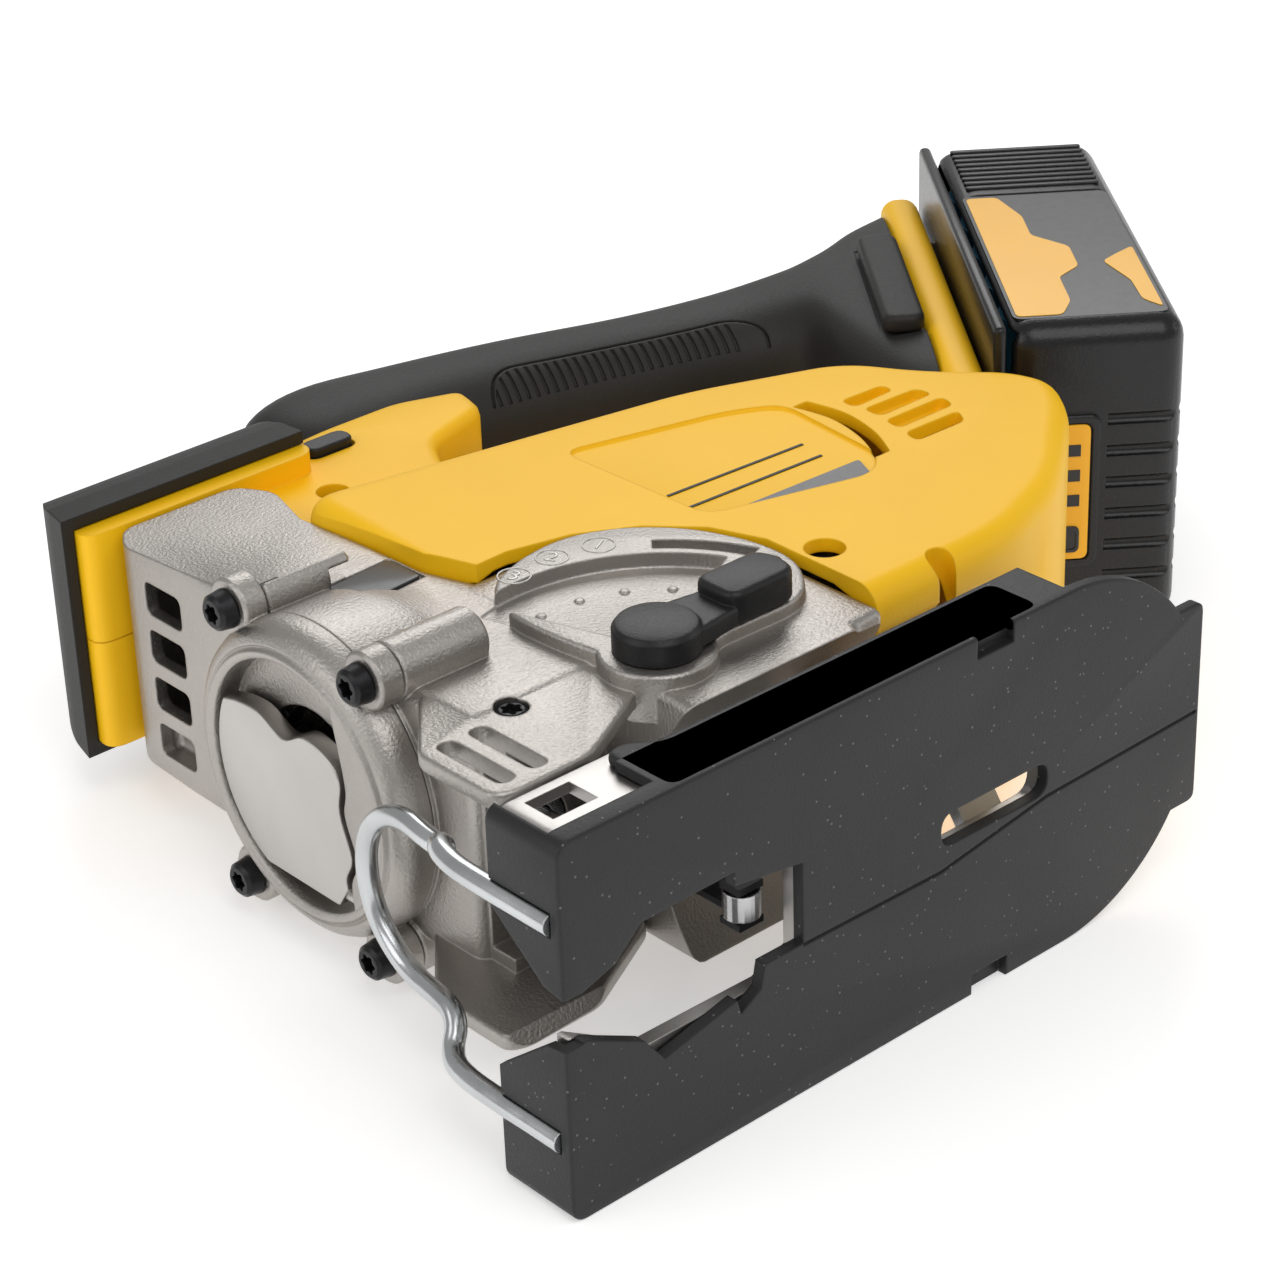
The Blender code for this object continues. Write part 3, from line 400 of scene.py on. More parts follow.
MATERIALS = {
    "yellow": new_material("yellow_moulding", (0.985, 0.555, 0.004), 0.46, tone=0.02, grain=2200,
                           bump=0.10, edge=0.6),
    "cast": new_material("cast_aluminium", (0.43, 0.405, 0.38), 0.42, metallic=1.0, tone=0.07, grain=1500,
                         bump=0.40, edge=0.7, rough_spread=0.10),
    "machined": new_material("machined_aluminium", (0.50, 0.485, 0.465), 0.34, metallic=1.0, tone=0.06,
                             grain=900, bump=0.12, edge=0.3, streak=(1, 14, 1)),
    "zinc": new_material("zinc_plate", (0.58, 0.60, 0.61), 0.24, metallic=1.0, tone=0.16, grain=260,
                         bump=0.10, edge=0.3, rough_spread=0.10),
    "steel": new_material("ground_steel", (0.56, 0.56, 0.57), 0.26, metallic=1.0, tone=0.05, grain=500,
                          bump=0.08, streak=(16, 1, 16)),
    "oxide": new_material("black_oxide", (0.022, 0.022, 0.024), 0.34, metallic=0.6, tone=0.2, grain=900,
                          bump=0.12),
    "plastic": new_material("shoe_plastic", (0.018, 0.018, 0.019), 0.47, tone=0.10, grain=1700, bump=0.16,
                            edge=0.7, speck=0.35),
    "satin": new_material("black_moulding", (0.012, 0.012, 0.013), 0.40, tone=0.12, grain=1900, bump=0.14,
                          edge=0.6),
    "gloss": new_material("battery_moulding", (0.008, 0.008, 0.009), 0.30, tone=0.15, grain=1500,
                          bump=0.20, edge=0.7, coat=0.15),
    "rubber": new_material("soft_grip", (0.017, 0.0165, 0.016), 0.56, tone=0.12, grain=1800, bump=0.20,
                           edge=0.6),
    "label_black": new_material("label_black", (0.016, 0.016, 0.017), 0.33, tone=0.05, grain=600,
                                bump=0.02, edge=0.1, coat=0.3),
    "label_yellow": new_material("label_yellow", (0.93, 0.47, 0.006), 0.33, tone=0.02, grain=600,
                                 bump=0.02, edge=0.1, coat=0.3),
    "ink": new_material("panel_ink", (0.012, 0.012, 0.012), 0.45, tone=0.05, grain=800, bump=0.03,
                        edge=0.1),
    "copper": new_material("copper_winding", (0.72, 0.33, 0.17), 0.36, metallic=1.0, tone=0.15,
                           grain=700, bump=0.3, streak=(1, 9, 9)),
    "wrap": new_material("cell_wrap", (0.04, 0.20, 0.34), 0.35, tone=0.08, grain=500, bump=0.05),
}
PIECES = []


# Shoe

def sole_outline(inset, front, steps=28):
    """The sole seen from below, as (x, z), drawn in by an inset."""
    radius = 39.0 - inset
    tab = 22.4 - inset
    tab_angle = math.degrees(math.asin(tab / radius))
    rear = 166.5 - inset
    outline = arc(front + 3, MID - radius + 3, 3, 180, 270, 5)
    outline += arc(127.5, MID, radius, -90, -tab_angle, steps)
    outline += rounded([(127.5 + radius * math.cos(math.radians(tab_angle)), MID - tab),
                        (rear, MID - tab), (rear, MID + tab),
                        (127.5 + radius * math.cos(math.radians(tab_angle)), MID + tab)], 2.0, 3)[4:12]
    outline += arc(127.5, MID, radius, tab_angle, 90, steps)
    outline += arc(front + 3, MID + radius - 3, 3, 90, 180, 5)
    return outline


COVER_OPENING = [(-2, 37.0), (-2, 47.0), (4, 47.0), (12, 49.5), (18, 55.0), (40, 55.4), (40, 52.4),
                 (56.6, 50.0), (56.6, 32.8), (47, 32.8), (46, 28.0), (41, 25.0), (40, 28.4), (22.4, 24.6),
                 (18, 30.4), (5, 37.0)]


def make_shoe():
    cover = piece("sole_cover", prism(sole_outline(0, 0), 0, 18.7, "y"), "plastic", "shoe", bevel=0.7)
    combine(cover, "DIFFERENCE",
            prism(sole_outline(2.0, 2.0), 2.5, 30, "y"),
            box((127.5, 2.5, -5), (200, 30, 90)),
            (box((25.6, 14.0, -5), (200, 30, 90)), 0),
            box((2.2, 4.5, -5), (25.6, 30, 90)),
            prism([(-1, 37.0), (-1, 47.0), (5, 48), (20, 60), (20, 24), (5, 36)], -2, 4, "x"),
            prism(COVER_OPENING, -1, 8, "y"),
            prism(rounded([(92.5, 36.8), (92.5, 44.0), (121.8, 44.0), (121.8, 36.8)], 3.4), -1, 8, "y"),
            box((101.5, -1, 73.6), (111.4, 2.2, 80)),
            box((101.5, -1, -2), (111.4, 2.2, 4.8)))
    for z in (61.4, 16.6):
        combine(cover, "DIFFERENCE", box((-2, 2.4, z - 2.5), (5, 30, z + 2.5)))
    step = [(56.6, 33.0), (92.6, 32.4), (92.6, 31.6), (56.6, 32.2)]
    rear_step = [(121.8, 36.6), (165.6, 37.6), (165.6, 36.8), (121.8, 35.8)]
    under_slot = [(92.6, 32.4), (121.8, 36.6), (121.8, 35.8), (92.6, 31.6)]
    for line in (step, rear_step, under_slot):
        combine(cover, "DIFFERENCE", prism(line, -1, 0.45, "y"))
    lip = rounded([(26.2, 0.3), (26.2, 17.6), (31, 18.2), (36, 14.0), (120, 14.0), (120, 0.3)], 3.5)
    side_lip = piece("cover_lip", prism(lip, 75.6, 78.0), "plastic", "shoe", bevel=0.9)
    combine(side_lip, "DIFFERENCE", box((101.5, -1, 73.6), (111.4, 2.2, 80)))
    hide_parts("shoe_cover")

    plate = piece("shoe_casting", prism(sole_outline(2.3, 3.0), 2.8, 20.0, "y"), "machined", "shoe",
                  bevel=0.5)
    combine(plate, "DIFFERENCE",
            prism([(-5, 4.6), (-5, 73.4), (200, 73.4), (200, 4.6)], 5.8, 30, "y"),
            box((123.5, 5.8, -5), (200, 30, 90)),
            box((32.0, 12.0, -5), (200, 30, 90)),
            box((8, 10, 70), (18, 17.5, 80)),
            prism([(-2, 36.6), (-2, 47.4), (4, 47.4), (20, 56), (57.2, 56), (57.2, 30), (49, 26.6), (20, 27),
                   (4, 36.6)], -1, 8, "y"),
            prism(rounded([(92, 35), (92, 47), (122.5, 47), (122.5, 35)], 4), -1, 8, "y"))
    for z in (61.4, 16.6):
        combine(plate, "DIFFERENCE", box((-2, 2.4, z - 2.5), (5, 30, z + 2.5)))
    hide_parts("shoe_plate")


def make_wire_guard():
    left = [(0.5, 2.6, 61.4), (0.5, 10, 61.4), (0.5, 20, 61.4), (0.8, 28, 61.4), (2.0, 33.5, 61.4),
            (4.2, 37.0, 60.6), (6.6, 39.0, 58.2), (8.0, 42.0, 56.4), (8.8, 47.0, 56.0), (9.6, 53.0, 56.0),
            (10.2, 58.5, 54.6), (10.6, 63.2, 51.6), (10.8, 66.4, 47.6), (10.9, 68.0, 43.2)]
    right = [(x, y, 2 * MID - z) for x, y, z in reversed(left)]
    line = smooth_line(left + [(10.9, 68.4, MID)] + right, 5)
    guard = tube("guard_wire", line, 2.15, "zinc", "shoe", 10)
    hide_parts("wire_guard")


# Gear case

UPPER_CASE = [(28, 57), (28, 168), (33, 175), (61, 175), (65, 166), (60, 150), (62, 112), (66, 100), (66, 57)]
DIAL_CASE = [(60, 100), (74, 100.5), (88, 97), (100, 90), (109, 80), (113.5, 68), (113, 34.6), (105, 34.6),
             (103, 30), (60, 30)]
CASE_TAPERS = ([(118, 67.3), (180, 63.2), (180, 80), (118, 80)],
               [(118, 10.7), (180, 14.8), (180, 0), (118, 0)])
VENT_LEVELS = (18, 29, 40, 51)
LUGS = [(CAP_Y + side * 21.0, MID + edge * 30.3) for side in (-1, 1) for edge in (-1, 1)]
PLATE_EDGE = [(58, 60), (57, 80), (62, 92), (74, 97), (86, 98), (97, 93.5), (107, 83), (112, 69), (112, 57),
              (103, 45), (79, 45.5), (74, 41), (64, 41)]


def numeral(name, text, at, size):
    """A raised number on the dial plate, as the mesh of a text object."""
    data = bpy.data.curves.new(name, "FONT")
    data.body = text
    data.size = size * MM
    data.extrude = 0.12 * MM
    data.align_x = "CENTER"
    data.align_y = "CENTER"
    item = bpy.data.objects.new(name, data)
    bpy.context.scene.collection.objects.link(item)
    item.location = (Vector((*at, DIAL_TOP)) - CENTRE) * MM
    item.rotation_euler.z = math.radians(-62)
    bpy.context.view_layer.update()
    graph = bpy.context.evaluated_depsgraph_get()
    mesh = bpy.data.meshes.new_from_object(item.evaluated_get(graph))
    mesh.transform(item.matrix_world)
    bpy.data.objects.remove(item)
    solid = bpy.data.objects.new(name, mesh)
    bpy.context.scene.collection.objects.link(solid)
    solid.data.materials.clear()
    solid.data.materials.append(MATERIALS["machined"])
    solid["body"] = "tool_body"
    PIECES.append(solid)
    return solid


def make_gear_case():
    case = piece("case_casting", prism(UPPER_CASE, CASE_LOW, CASE_HIGH), "cast", "tool_body", bevel=3.0,
                 segments=4)
    guard = rounded([(15, 35.5), (15, 56), (29, 73), (60, 73), (60, 46), (37, 34), (19, 33.5)], 2.5)
    combine(case, "UNION",
            (prism(DIAL_CASE, CASE_LOW - 0.1, CASE_HIGH + 0.1), 2.0),
            box((30, 50, 14.5), (110, 122, 63.5)),
            turned("x", CAP_Y, MID, [(27, 0), (27, 32.9), (40, 32.9), (46, 31.2), (54, 28), (54, 0)], 96))
    for y, z in LUGS:
        lug = [(27.1, 0), (27.1, 5.6), (27.6, 6), (47, 6), (48, 5), (48, 0)]
        combine(case, "UNION", turned("x", y, z, lug, 40))
    combine(case, "UNION",
            (prism(guard, CASE_HIGH - 4, CASE_HIGH - 0.5), 0.8),
            (prism(guard, CASE_LOW + 0.5, CASE_LOW + 4), 0.8),
            (prism(rounded(PLATE_EDGE, 9), CASE_HIGH - 2, DIAL_TOP), 0.8),
            (prism(arc(*HUB, 11.5, 0, 360, 40)[:-1], CASE_HIGH - 8, DIAL_TOP), 0.8))
    combine(case, "DIFFERENCE",
            rod("x", 0, MID, 43, 5, 230, 96),
            box((31, 61, 18), (106, 118.5, 60)),
            box((31, 110, 18), (56, 170, 60)),
            rod("x", CAP_Y, MID, 14, 20, 40),
            rod("y", 42, MID, 7.6, 50, 70),
            box((22, 20, 18), (60, 56.5, 60)),
            rod("x", 108.5, MID, 11.3, 100, 115),
            rod("x", 84, MID, 4.3, 100, 115),
            rod("z", *HUB, 3.3, 55, 75),
            box((80, 20, 28), (99, 46.5, 50)),
            *[prism(taper, 20, 70, "x") for taper in CASE_TAPERS])
    for x in (18.5, 26.0):
        slot = rounded([(x, 37), (x + 4.4, 37), (x + 4.4, 56), (x, 56)], 2.2)
        combine(case, "DIFFERENCE", prism(slot, 60, 70))
    for z in VENT_LEVELS:
        combine(case, "DIFFERENCE", (box((20, 149, z), (33, 161.5, z + 7.6)), 1.6))
    for y, z in LUGS:
        combine(case, "DIFFERENCE", rod("x", y, z, 2.3, 20, 36, 20))
    fan = (arc(*HUB, 39.5, 27, 108, 28) + arc(*HUB, 9.5, 108, 27, 10))
    combine(case, "DIFFERENCE",
            (prism(rounded(fan, 4, 4), DIAL_TOP - 3.4, DIAL_TOP + 3), 0.5),
            (prism(rounded(band(HUB, 41.2, 45.2, 21, 49), 1.6, 3), DIAL_TOP - 2.6, DIAL_TOP + 3), 0.3),
            (prism([(42, 107), (42, 119), (59.5, 120), (59.5, 108.5)], CASE_HIGH - 0.7, 72), 0.3),
            rod("z", 38, 57, 3.4, 60, 70))
    detents = [(HUB[0] + 30 * math.cos(math.radians(a)), HUB[1] + 30 * math.sin(math.radians(a)))
               for a in (42, 60, 78, 96)]
    for x, y in detents:
        dot = turned("z", x, y, [(DIAL_TOP - 4.2, 0), (DIAL_TOP - 4.2, 1.2), (DIAL_TOP - 3.0, 0.9),
                                 (DIAL_TOP - 2.8, 0)], 16)
        combine(case, "UNION", dot)
    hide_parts("gear_case")

    badge = rounded([(42.6, 107.8), (42.6, 118.4), (59.0, 119.3), (59.0, 109.2)], 1.2)
    piece("case_badge", prism(badge, CASE_HIGH - 1.2, CASE_HIGH + 0.2), "label_black", "tool_body", bevel=0.3)
    side_screw = turned("z", 38, 57, [(62, 0), (62, 3.2), (65.6, 3.2), (66.2, 2.4), (66.2, 0)], 32)
    side = piece("case_side_screw", side_screw, "oxide", "tool_body")
    combine(side, "DIFFERENCE", prism(star(38, 57, 1.9), 64.6, 68))
    for text, at in (("3", (68.2, 91.6)), ("2", (78.6, 92.4)), ("1", (88.6, 89.8)), ("0", (106.8, 61.0))):
        numeral(f"dial_number_{text}", text, at, 5.2)
        rim = turned("z", *at, [(DIAL_TOP - 0.2, 3.1), (DIAL_TOP - 0.2, 3.5), (DIAL_TOP + 0.12, 3.45),
                                (DIAL_TOP + 0.12, 3.15)], 40)
        piece(f"dial_rim_{text}", rim, "machined", "tool_body")


def star(u, v, radius):
    """The six-lobed hole in a screw head."""
    points = []
    for step in range(36):
        angle = 2 * math.pi * step / 36
        reach = radius * (1 + 0.16 * math.cos(6 * angle))
        points.append((u + reach * math.cos(angle), v + reach * math.sin(angle)))
    return points


def make_front_cover():
    profile = [(24.2, 26), (20.0, 26), (18.9, 26.4), (18.3, 27.3), (18.3, 27.9), (19.0, 28.3), (19.4, 28.7),
               (18.9, 29.2), (19.3, 30.2), (20.6, 31.8), (22.6, 32.8), (24.5, 33), (26.7, 33), (26.7, 15),
               (24.2, 15)]
    ring = piece("cover_ring", turned("x", CAP_Y, MID, profile, 128), "cast", "tool_body")
    for y, z in LUGS:
        lug = turned("x", y, z, [(21.5, 0), (21.5, 5.4), (22.1, 6), (26.7, 6), (26.7, 0)], 40)
        combine(ring, "UNION", lug)
    edge = smooth_line([(CAP_Y - 16.2, MID - 20.6), (CAP_Y - 16, MID - 15), (CAP_Y - 18.2, MID - 9),
                        (CAP_Y - 15.4, MID), (CAP_Y - 16.2, MID + 7), (CAP_Y - 13, MID + 22.9)], 6)
    land = edge + arc(CAP_Y, MID, 26.5, 119.6, 231.8, 30)
    combine(ring, "UNION", (prism(land, 19.0, 24.4, "x"), 0.5))
    for y, z in LUGS:
        combine(ring, "DIFFERENCE", rod("x", y, z, 4.5, 10, 21.4, 32), rod("x", y, z, 2.3, 10, 30, 20))
    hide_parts("front_cover")

    for number, (y, z) in enumerate(LUGS, 1):
        head = [(17.6, 0), (17.6, 2.9), (18.3, 3.7), (21.2, 4.1), (21.2, 2.0), (34, 2.0), (34, 0)]
        screw = piece(f"cover_cap_screw_{number}", turned("x", y, z, head, 40), "oxide", "tool_body")
        combine(screw, "DIFFERENCE", prism(star(y, z, 1.9), 17, 19.6, "x"))
        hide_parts(f"cover_screw_{number}")


def make_blade_lever():
    rim = arc(CAP_Y, MID, 24.6, 27, -75, 40) + arc(CAP_Y, MID, 24.6, -105, -118, 6)
    edge = smooth_line([(CAP_Y - 14.6, MID - 17), (CAP_Y - 14.4, MID - 14.4), (CAP_Y - 16.6, MID - 9),
                        (CAP_Y - 13.8, MID), (CAP_Y - 14.6, MID + 7), (CAP_Y - 11, MID + 11),
                        (CAP_Y - 4, MID + 12.5), (CAP_Y + 3, MID + 9.5), (CAP_Y + 11, MID + 12.5),
                        (CAP_Y + 18, MID + 12.2)], 5)
    outline = [(y, max(z, 17.2)) for y, z in rim + edge]
    lever = piece("lever_face", prism(outline, 18.8, 23.0, "x"), "machined", "blade_lever", bevel=0.7)
    combine(lever, "UNION", rod("y", 20.9, 19.5, 1.3, CAP_Y - 18.5, CAP_Y + 18.5, 24))
    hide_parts("blade_lever")


def make_orbit_lever():
    x, y = HUB
    hub = [(70.3, 0), (70.3, 8.6), (74.6, 8.6), (75.6, 7.9), (76, 6.4), (76, 0)]
    lever = piece("selector_lever", turned("z", x, y, hub, 64), "satin", "orbit_lever")
    arm = rounded([(x, y - 7.6), (x + 17, y - 5.2), (x + 17, y + 5.0), (x, y + 7.6)], 2)
    knob = rounded([(x + 14.5, y - 5.6), (x + 31.5, y - 5.2), (x + 33, y + 1.2), (x + 31, y + 6.2),
                    (x + 14.5, y + 6.2)], 3.6)
    combine(lever, "UNION",
            (prism(arm, 70.3, 74.6), 0.9),
            (prism(knob, 70.3, 77.4), 1.3),
            rod("z", x, y, 3, 60.5, 72, 32))
    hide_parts("orbit_lever")


# Housing

MOTOR_BLOCK = [(98, 37), (152, 37), (178, 47), (205, 69), (213, 80), (210, 91), (197.5, 104), (188, 121),
               (152, 135), (104, 144), (60, 152), (58, 92), (98, 60)]
COLUMN = [(60, 140), (104, 138), (106, 160), (112, 171), (131, 177), (134, 188), (118, 194), (98, 194),
          (60, 190)]
NOSE = [(24, 176), (27, 190), (34, 201), (45, 208), (60, 209), (76, 205.5), (84, 203), (84, 176)]
NOSE_DOME = [(150, 26.0), (181, 24.8), (188, 23.8), (194, 21.8), (200, 17.8), (206, 11.5), (209.5, 4.0)]
HOUSING_LEFT_HOLES = [(80, 166, 3.6), (119, 57, 4.2), (133, 39, 3.0)]


def smooth_outline(outline, radius):
    return rounded(outline, radius, 8)


def nose_solid(margin):
    """The nose, grown by a margin and rounded over towards its top, as an object."""
    item = write_mesh("nose", prism(smooth_outline(grown(NOSE, margin), 5), MID - 32, MID + 32))
    side = smooth_line([(y + margin, MID + half + margin) for y, half in NOSE_DOME], 4)
    other = [(y, 2 * MID - z) for y, z in reversed(side)]
    combine(item, "INTERSECT", prism(side + other, -10, 120, "x"))
    return item


def cut_with(item, tool, operation="DIFFERENCE"):
    """Combine an object with another object, which is used up."""
    boolean = item.modifiers.new("cut", "BOOLEAN")
    boolean.operation = operation
    boolean.solver = "EXACT"
    boolean.object = tool
    settle(item)
    bpy.data.objects.remove(tool)


def make_housing():
    low_side = ((-50, -50, -50), (400, 300, MID + 0.1))
    high_side = ((-50, -50, MID - 0.1), (400, 300, 150))
    motor = smooth_outline(MOTOR_BLOCK, 9)
    for name, node, other in (("shell_left", "housing_left", low_side),
                              ("shell_right", "housing_right", high_side)):
        shell = piece(name, prism(motor, 8, 70), "yellow", "tool_body", bevel=10.5, segments=8)
        combine(shell, "UNION", (prism(smooth_outline(COLUMN, 4), 19, 59), 3))
        cut_with(shell, nose_solid(0), "UNION")
        cut_with(shell, nose_solid(-3))
        combine(shell, "DIFFERENCE",
                (prism(grown(MOTOR_BLOCK, -3), 11, 67), 9),
                prism(grown(COLUMN, -3), 22, 56),
                prism(grown(UPPER_CASE, 0.3), -5, 85),
                prism(grown(DIAL_CASE, 0.3), -5, 85),
                box((29.7, 49.7, 14.2), (110.3, 122.3, 63.8)),
                rod("x", 0, MID, 43, 5, 230, 96),
                box((110.5, 160, MID - 8.4), (130.6, 187.5, MID + 8.4)),
                prism(rounded([(86, 181), (86, 187.6), (99, 187.6), (99, 181)], 3), 0, 80),
                rod("x", 108.5, MID, 8.3, 174, 182.3))
        if node == "housing_left":
            carve_left_face(shell)
        combine(shell, "DIFFERENCE", box(*other))
        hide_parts(node)
    seam = prism(smooth_outline(grown(MOTOR_BLOCK, -1.2), 9), MID - 0.4, MID + 0.4)
    line = piece("housing_seam", seam, "ink", "tool_body")
    combine(line, "DIFFERENCE",
            prism(grown(MOTOR_BLOCK, -2.6), 0, 80),
            prism(grown(UPPER_CASE, 0.6), -5, 85),
            prism(grown(DIAL_CASE, 0.6), -5, 85),
            rod("x", 0, MID, 43, 5, 230, 96),
            box((29, 49, 14), (111, 200, 64)))


def carve_left_face(shell):
    """The label panel, the cooling slot, the rib vents and the screw holes."""
    panel = rounded([(113, 84.5), (112, 128), (150, 118), (161, 112), (157.5, 80), (150, 74)], 5)
    slot = smooth_line([(165.5, 109.2), (167.0, 99), (164.6, 88), (160.0, 79.0)], 8)
    slot += [(x - 4.2, y) for x, y in reversed(slot)]
    combine(shell, "DIFFERENCE",
            (prism(panel, 69.3, 75), 0.4),
            (prism(rounded(slot, 1.2, 2), 60, 75), 0.3))
    ribs = ([(170.5, 104), (182.5, 103.5), (182.5, 100), (170.5, 99.5)],
            [(171, 97.6), (186.5, 97.0), (187.0, 92.6), (171, 92.4)],
            [(170, 90.2), (187.2, 90.0), (186.0, 85.4), (169.4, 85.4)],
            [(168.6, 83.0), (184.4, 82.6), (181.6, 78.0), (167.4, 78.4)])
    for rib in ribs:
        combine(shell, "DIFFERENCE", (prism(rounded(rib, 2.0), 67.0, 75), 1.0))
    for x, y, radius in HOUSING_LEFT_HOLES:
        combine(shell, "DIFFERENCE", (rod("z", x, y, radius, 50, 80), 0.2))


def make_labels():
    strip = [(109.6, 83.2), (153.2, 81.4), (150.4, 75.2), (110.8, 75.6)]
    piece("housing_strip", prism(rounded(strip, 1), 69.0, 69.55), "label_black", "tool_body")
    bars = ([(114, 97.6), (150.6, 95.6), (150.5, 94.9), (114, 96.9)],
            [(112.6, 90.6), (149.5, 88.9), (149.4, 88.2), (112.6, 89.9)])
    for number, bar in enumerate(bars, 1):
        piece(f"panel_bar_{number}", prism(bar, 69.0, 69.5), "ink", "tool_body")


def make_bumper():
    bumper = piece("nose_cap", box((10, 181, 0), (84, 225, 78)), "rubber", "tool_body")
    cut_with(bumper, nose_solid(3), "INTERSECT")
    cut_with(bumper, nose_solid(0.3))
    combine(bumper, "DIFFERENCE", prism(grown(COLUMN, 0.3), 18.7, 59.3))
    for z in (21, 30, 39, 48, 57):
        groove = [(16, 181), (18, 193), (28, 206), (40, 213), (40, 230), (0, 230), (0, 181)]
        line = write_mesh("groove", prism(groove, z - 0.7, z + 0.7))
        cut_with(line, nose_solid(2.2))
        cut_with(bumper, line)
    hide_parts("nose_bumper")


# Handle

def handle_sections(shrink, end):
    """Handle and foot; the last sections lie square to the battery, down to a given level."""
    lean = BATTERY_TILT - 90
    sections = [(90, 204, 9, 15, 12, 0.8), (98, 206, 17, 18.5, 8, 0.8), (112, 208, 20, 19, 0, 0.8),
                (132, 207, 19, 18, -6, 0.85), (160, 201, 18, 17.5, -12, 0.85), (190, 192, 17, 17, -16, 0.85),
                (213, 185, 17.5, 17.5, -22, 0.8), (*battery_point(73, 81), 21, 20, -32, 0.75),
                (*battery_point(67, 72), 33, 22, lean, 0.55), (*battery_point(60, 63), 48, 23.5, lean, 0.4),
                (*battery_point(58, end), 56, 24.5, lean, 0.32)]
    sections = [(x, y, height - shrink, width - shrink, turn, power)
                for x, y, height, width, turn, power in sections]
    return smooth_line(sections, 5)


GRIP_ZONE = [(143, 188), (150, 195), (178, 187), (208, 178), (213, 170), (205, 165), (172, 171), (146, 178)]


def make_handle():
    def sections(shrink):
        return handle_sections(shrink, 53.8)

    channel = ((1.5, 45, RAIL_ROOM[0]), (140, 60.4, RAIL_ROOM[1]))
    outline = rounded(GRIP_ZONE, 5)
    for name, node, low, high in (("grip_left", "handle_left", MID + 0.15, 90),
                                  ("grip_right", "handle_right", -10, MID - 0.15)):
        reach = (50, 90) if node == "handle_left" else (-5, 28)
        grip = piece(name, loft(sections(0)), "rubber", "tool_body")
        combine(grip, "DIFFERENCE", loft(handle_sections(3.0, 50.0)[5:]))
        ridges = []
        for number in range(26):
            x = 148 + number * 2.35
            place = Matrix.Translation((x, 200 - (x - 148) * 0.33, 0))
            turn = Matrix.Rotation(math.radians(-12), 4, "Z")
            slab = moved(box((-0.45, -14, 0), (0.45, 14, 90)), place @ turn)
            ridges.append(slab)
        zone = write_mesh("zone", prism(outline, *reach))
        keep = write_mesh("keep", loft(sections(0.55)))
        cut_with(zone, keep)
        panel = write_mesh("slabs", ridges[0])
        for slab in ridges[1:]:
            combine(panel, "UNION", slab)
        cut_with(zone, panel, "INTERSECT")
        cut_with(grip, zone)
        rim = write_mesh("rim", prism(grown(outline, 1.2), *reach))
        combine(rim, "DIFFERENCE", prism(grown(outline, 0.5), -10, 100), loft(sections(0.7)))
        cut_with(grip, rim)
        combine(grip, "DIFFERENCE",
                prism(grown(COLUMN, 0.3), 18.7, 59.3),
                prism(grown(MOTOR_BLOCK, 0.3), 7.7, 70.3),
                in_battery(box(*channel)),
                box((-50, -50, -50), (400, 300, low)),
                box((-50, -50, high), (400, 300, 200)))
        cut_with(grip, nose_solid(3.3))
        for pad_low, pad_high in PAD_LEVELS:
            room = box((30.7, 50, pad_low - 0.3), (83.3, 63.8, pad_high + 0.3))
            combine(grip, "DIFFERENCE", in_battery(room))
        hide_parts(node)


# Battery and its holder

RAIL_ROOM = (18.6, 57.4)
PAD_LEVELS = ((11.0, 15.6), (62.4, 67.0))


def make_foot():
    band_shape = in_battery(box((-1, 44.0, 14), (115, 53.5, 64)))
    band_piece = piece("foot_collar", band_shape, "yellow", "tool_body", bevel=4, segments=6)
    combine(band_piece, "DIFFERENCE", in_battery(box((1.5, 41, RAIL_ROOM[0]), (140, 60.4, RAIL_ROOM[1]))))
    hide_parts("foot_band")
    names = (("pad_right", "foot_pad_right"), ("pad_left", "foot_pad_left"))
    for (name, node), (low, high) in zip(names, PAD_LEVELS):
        outline = rounded([(31, 53.8), (31, 63.5), (83, 63.5), (83, 53.8)], 3.5)
        pad = piece(name, in_battery(prism(outline, low, high)), "rubber", "tool_body", bevel=1.6, segments=4)
        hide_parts(node)


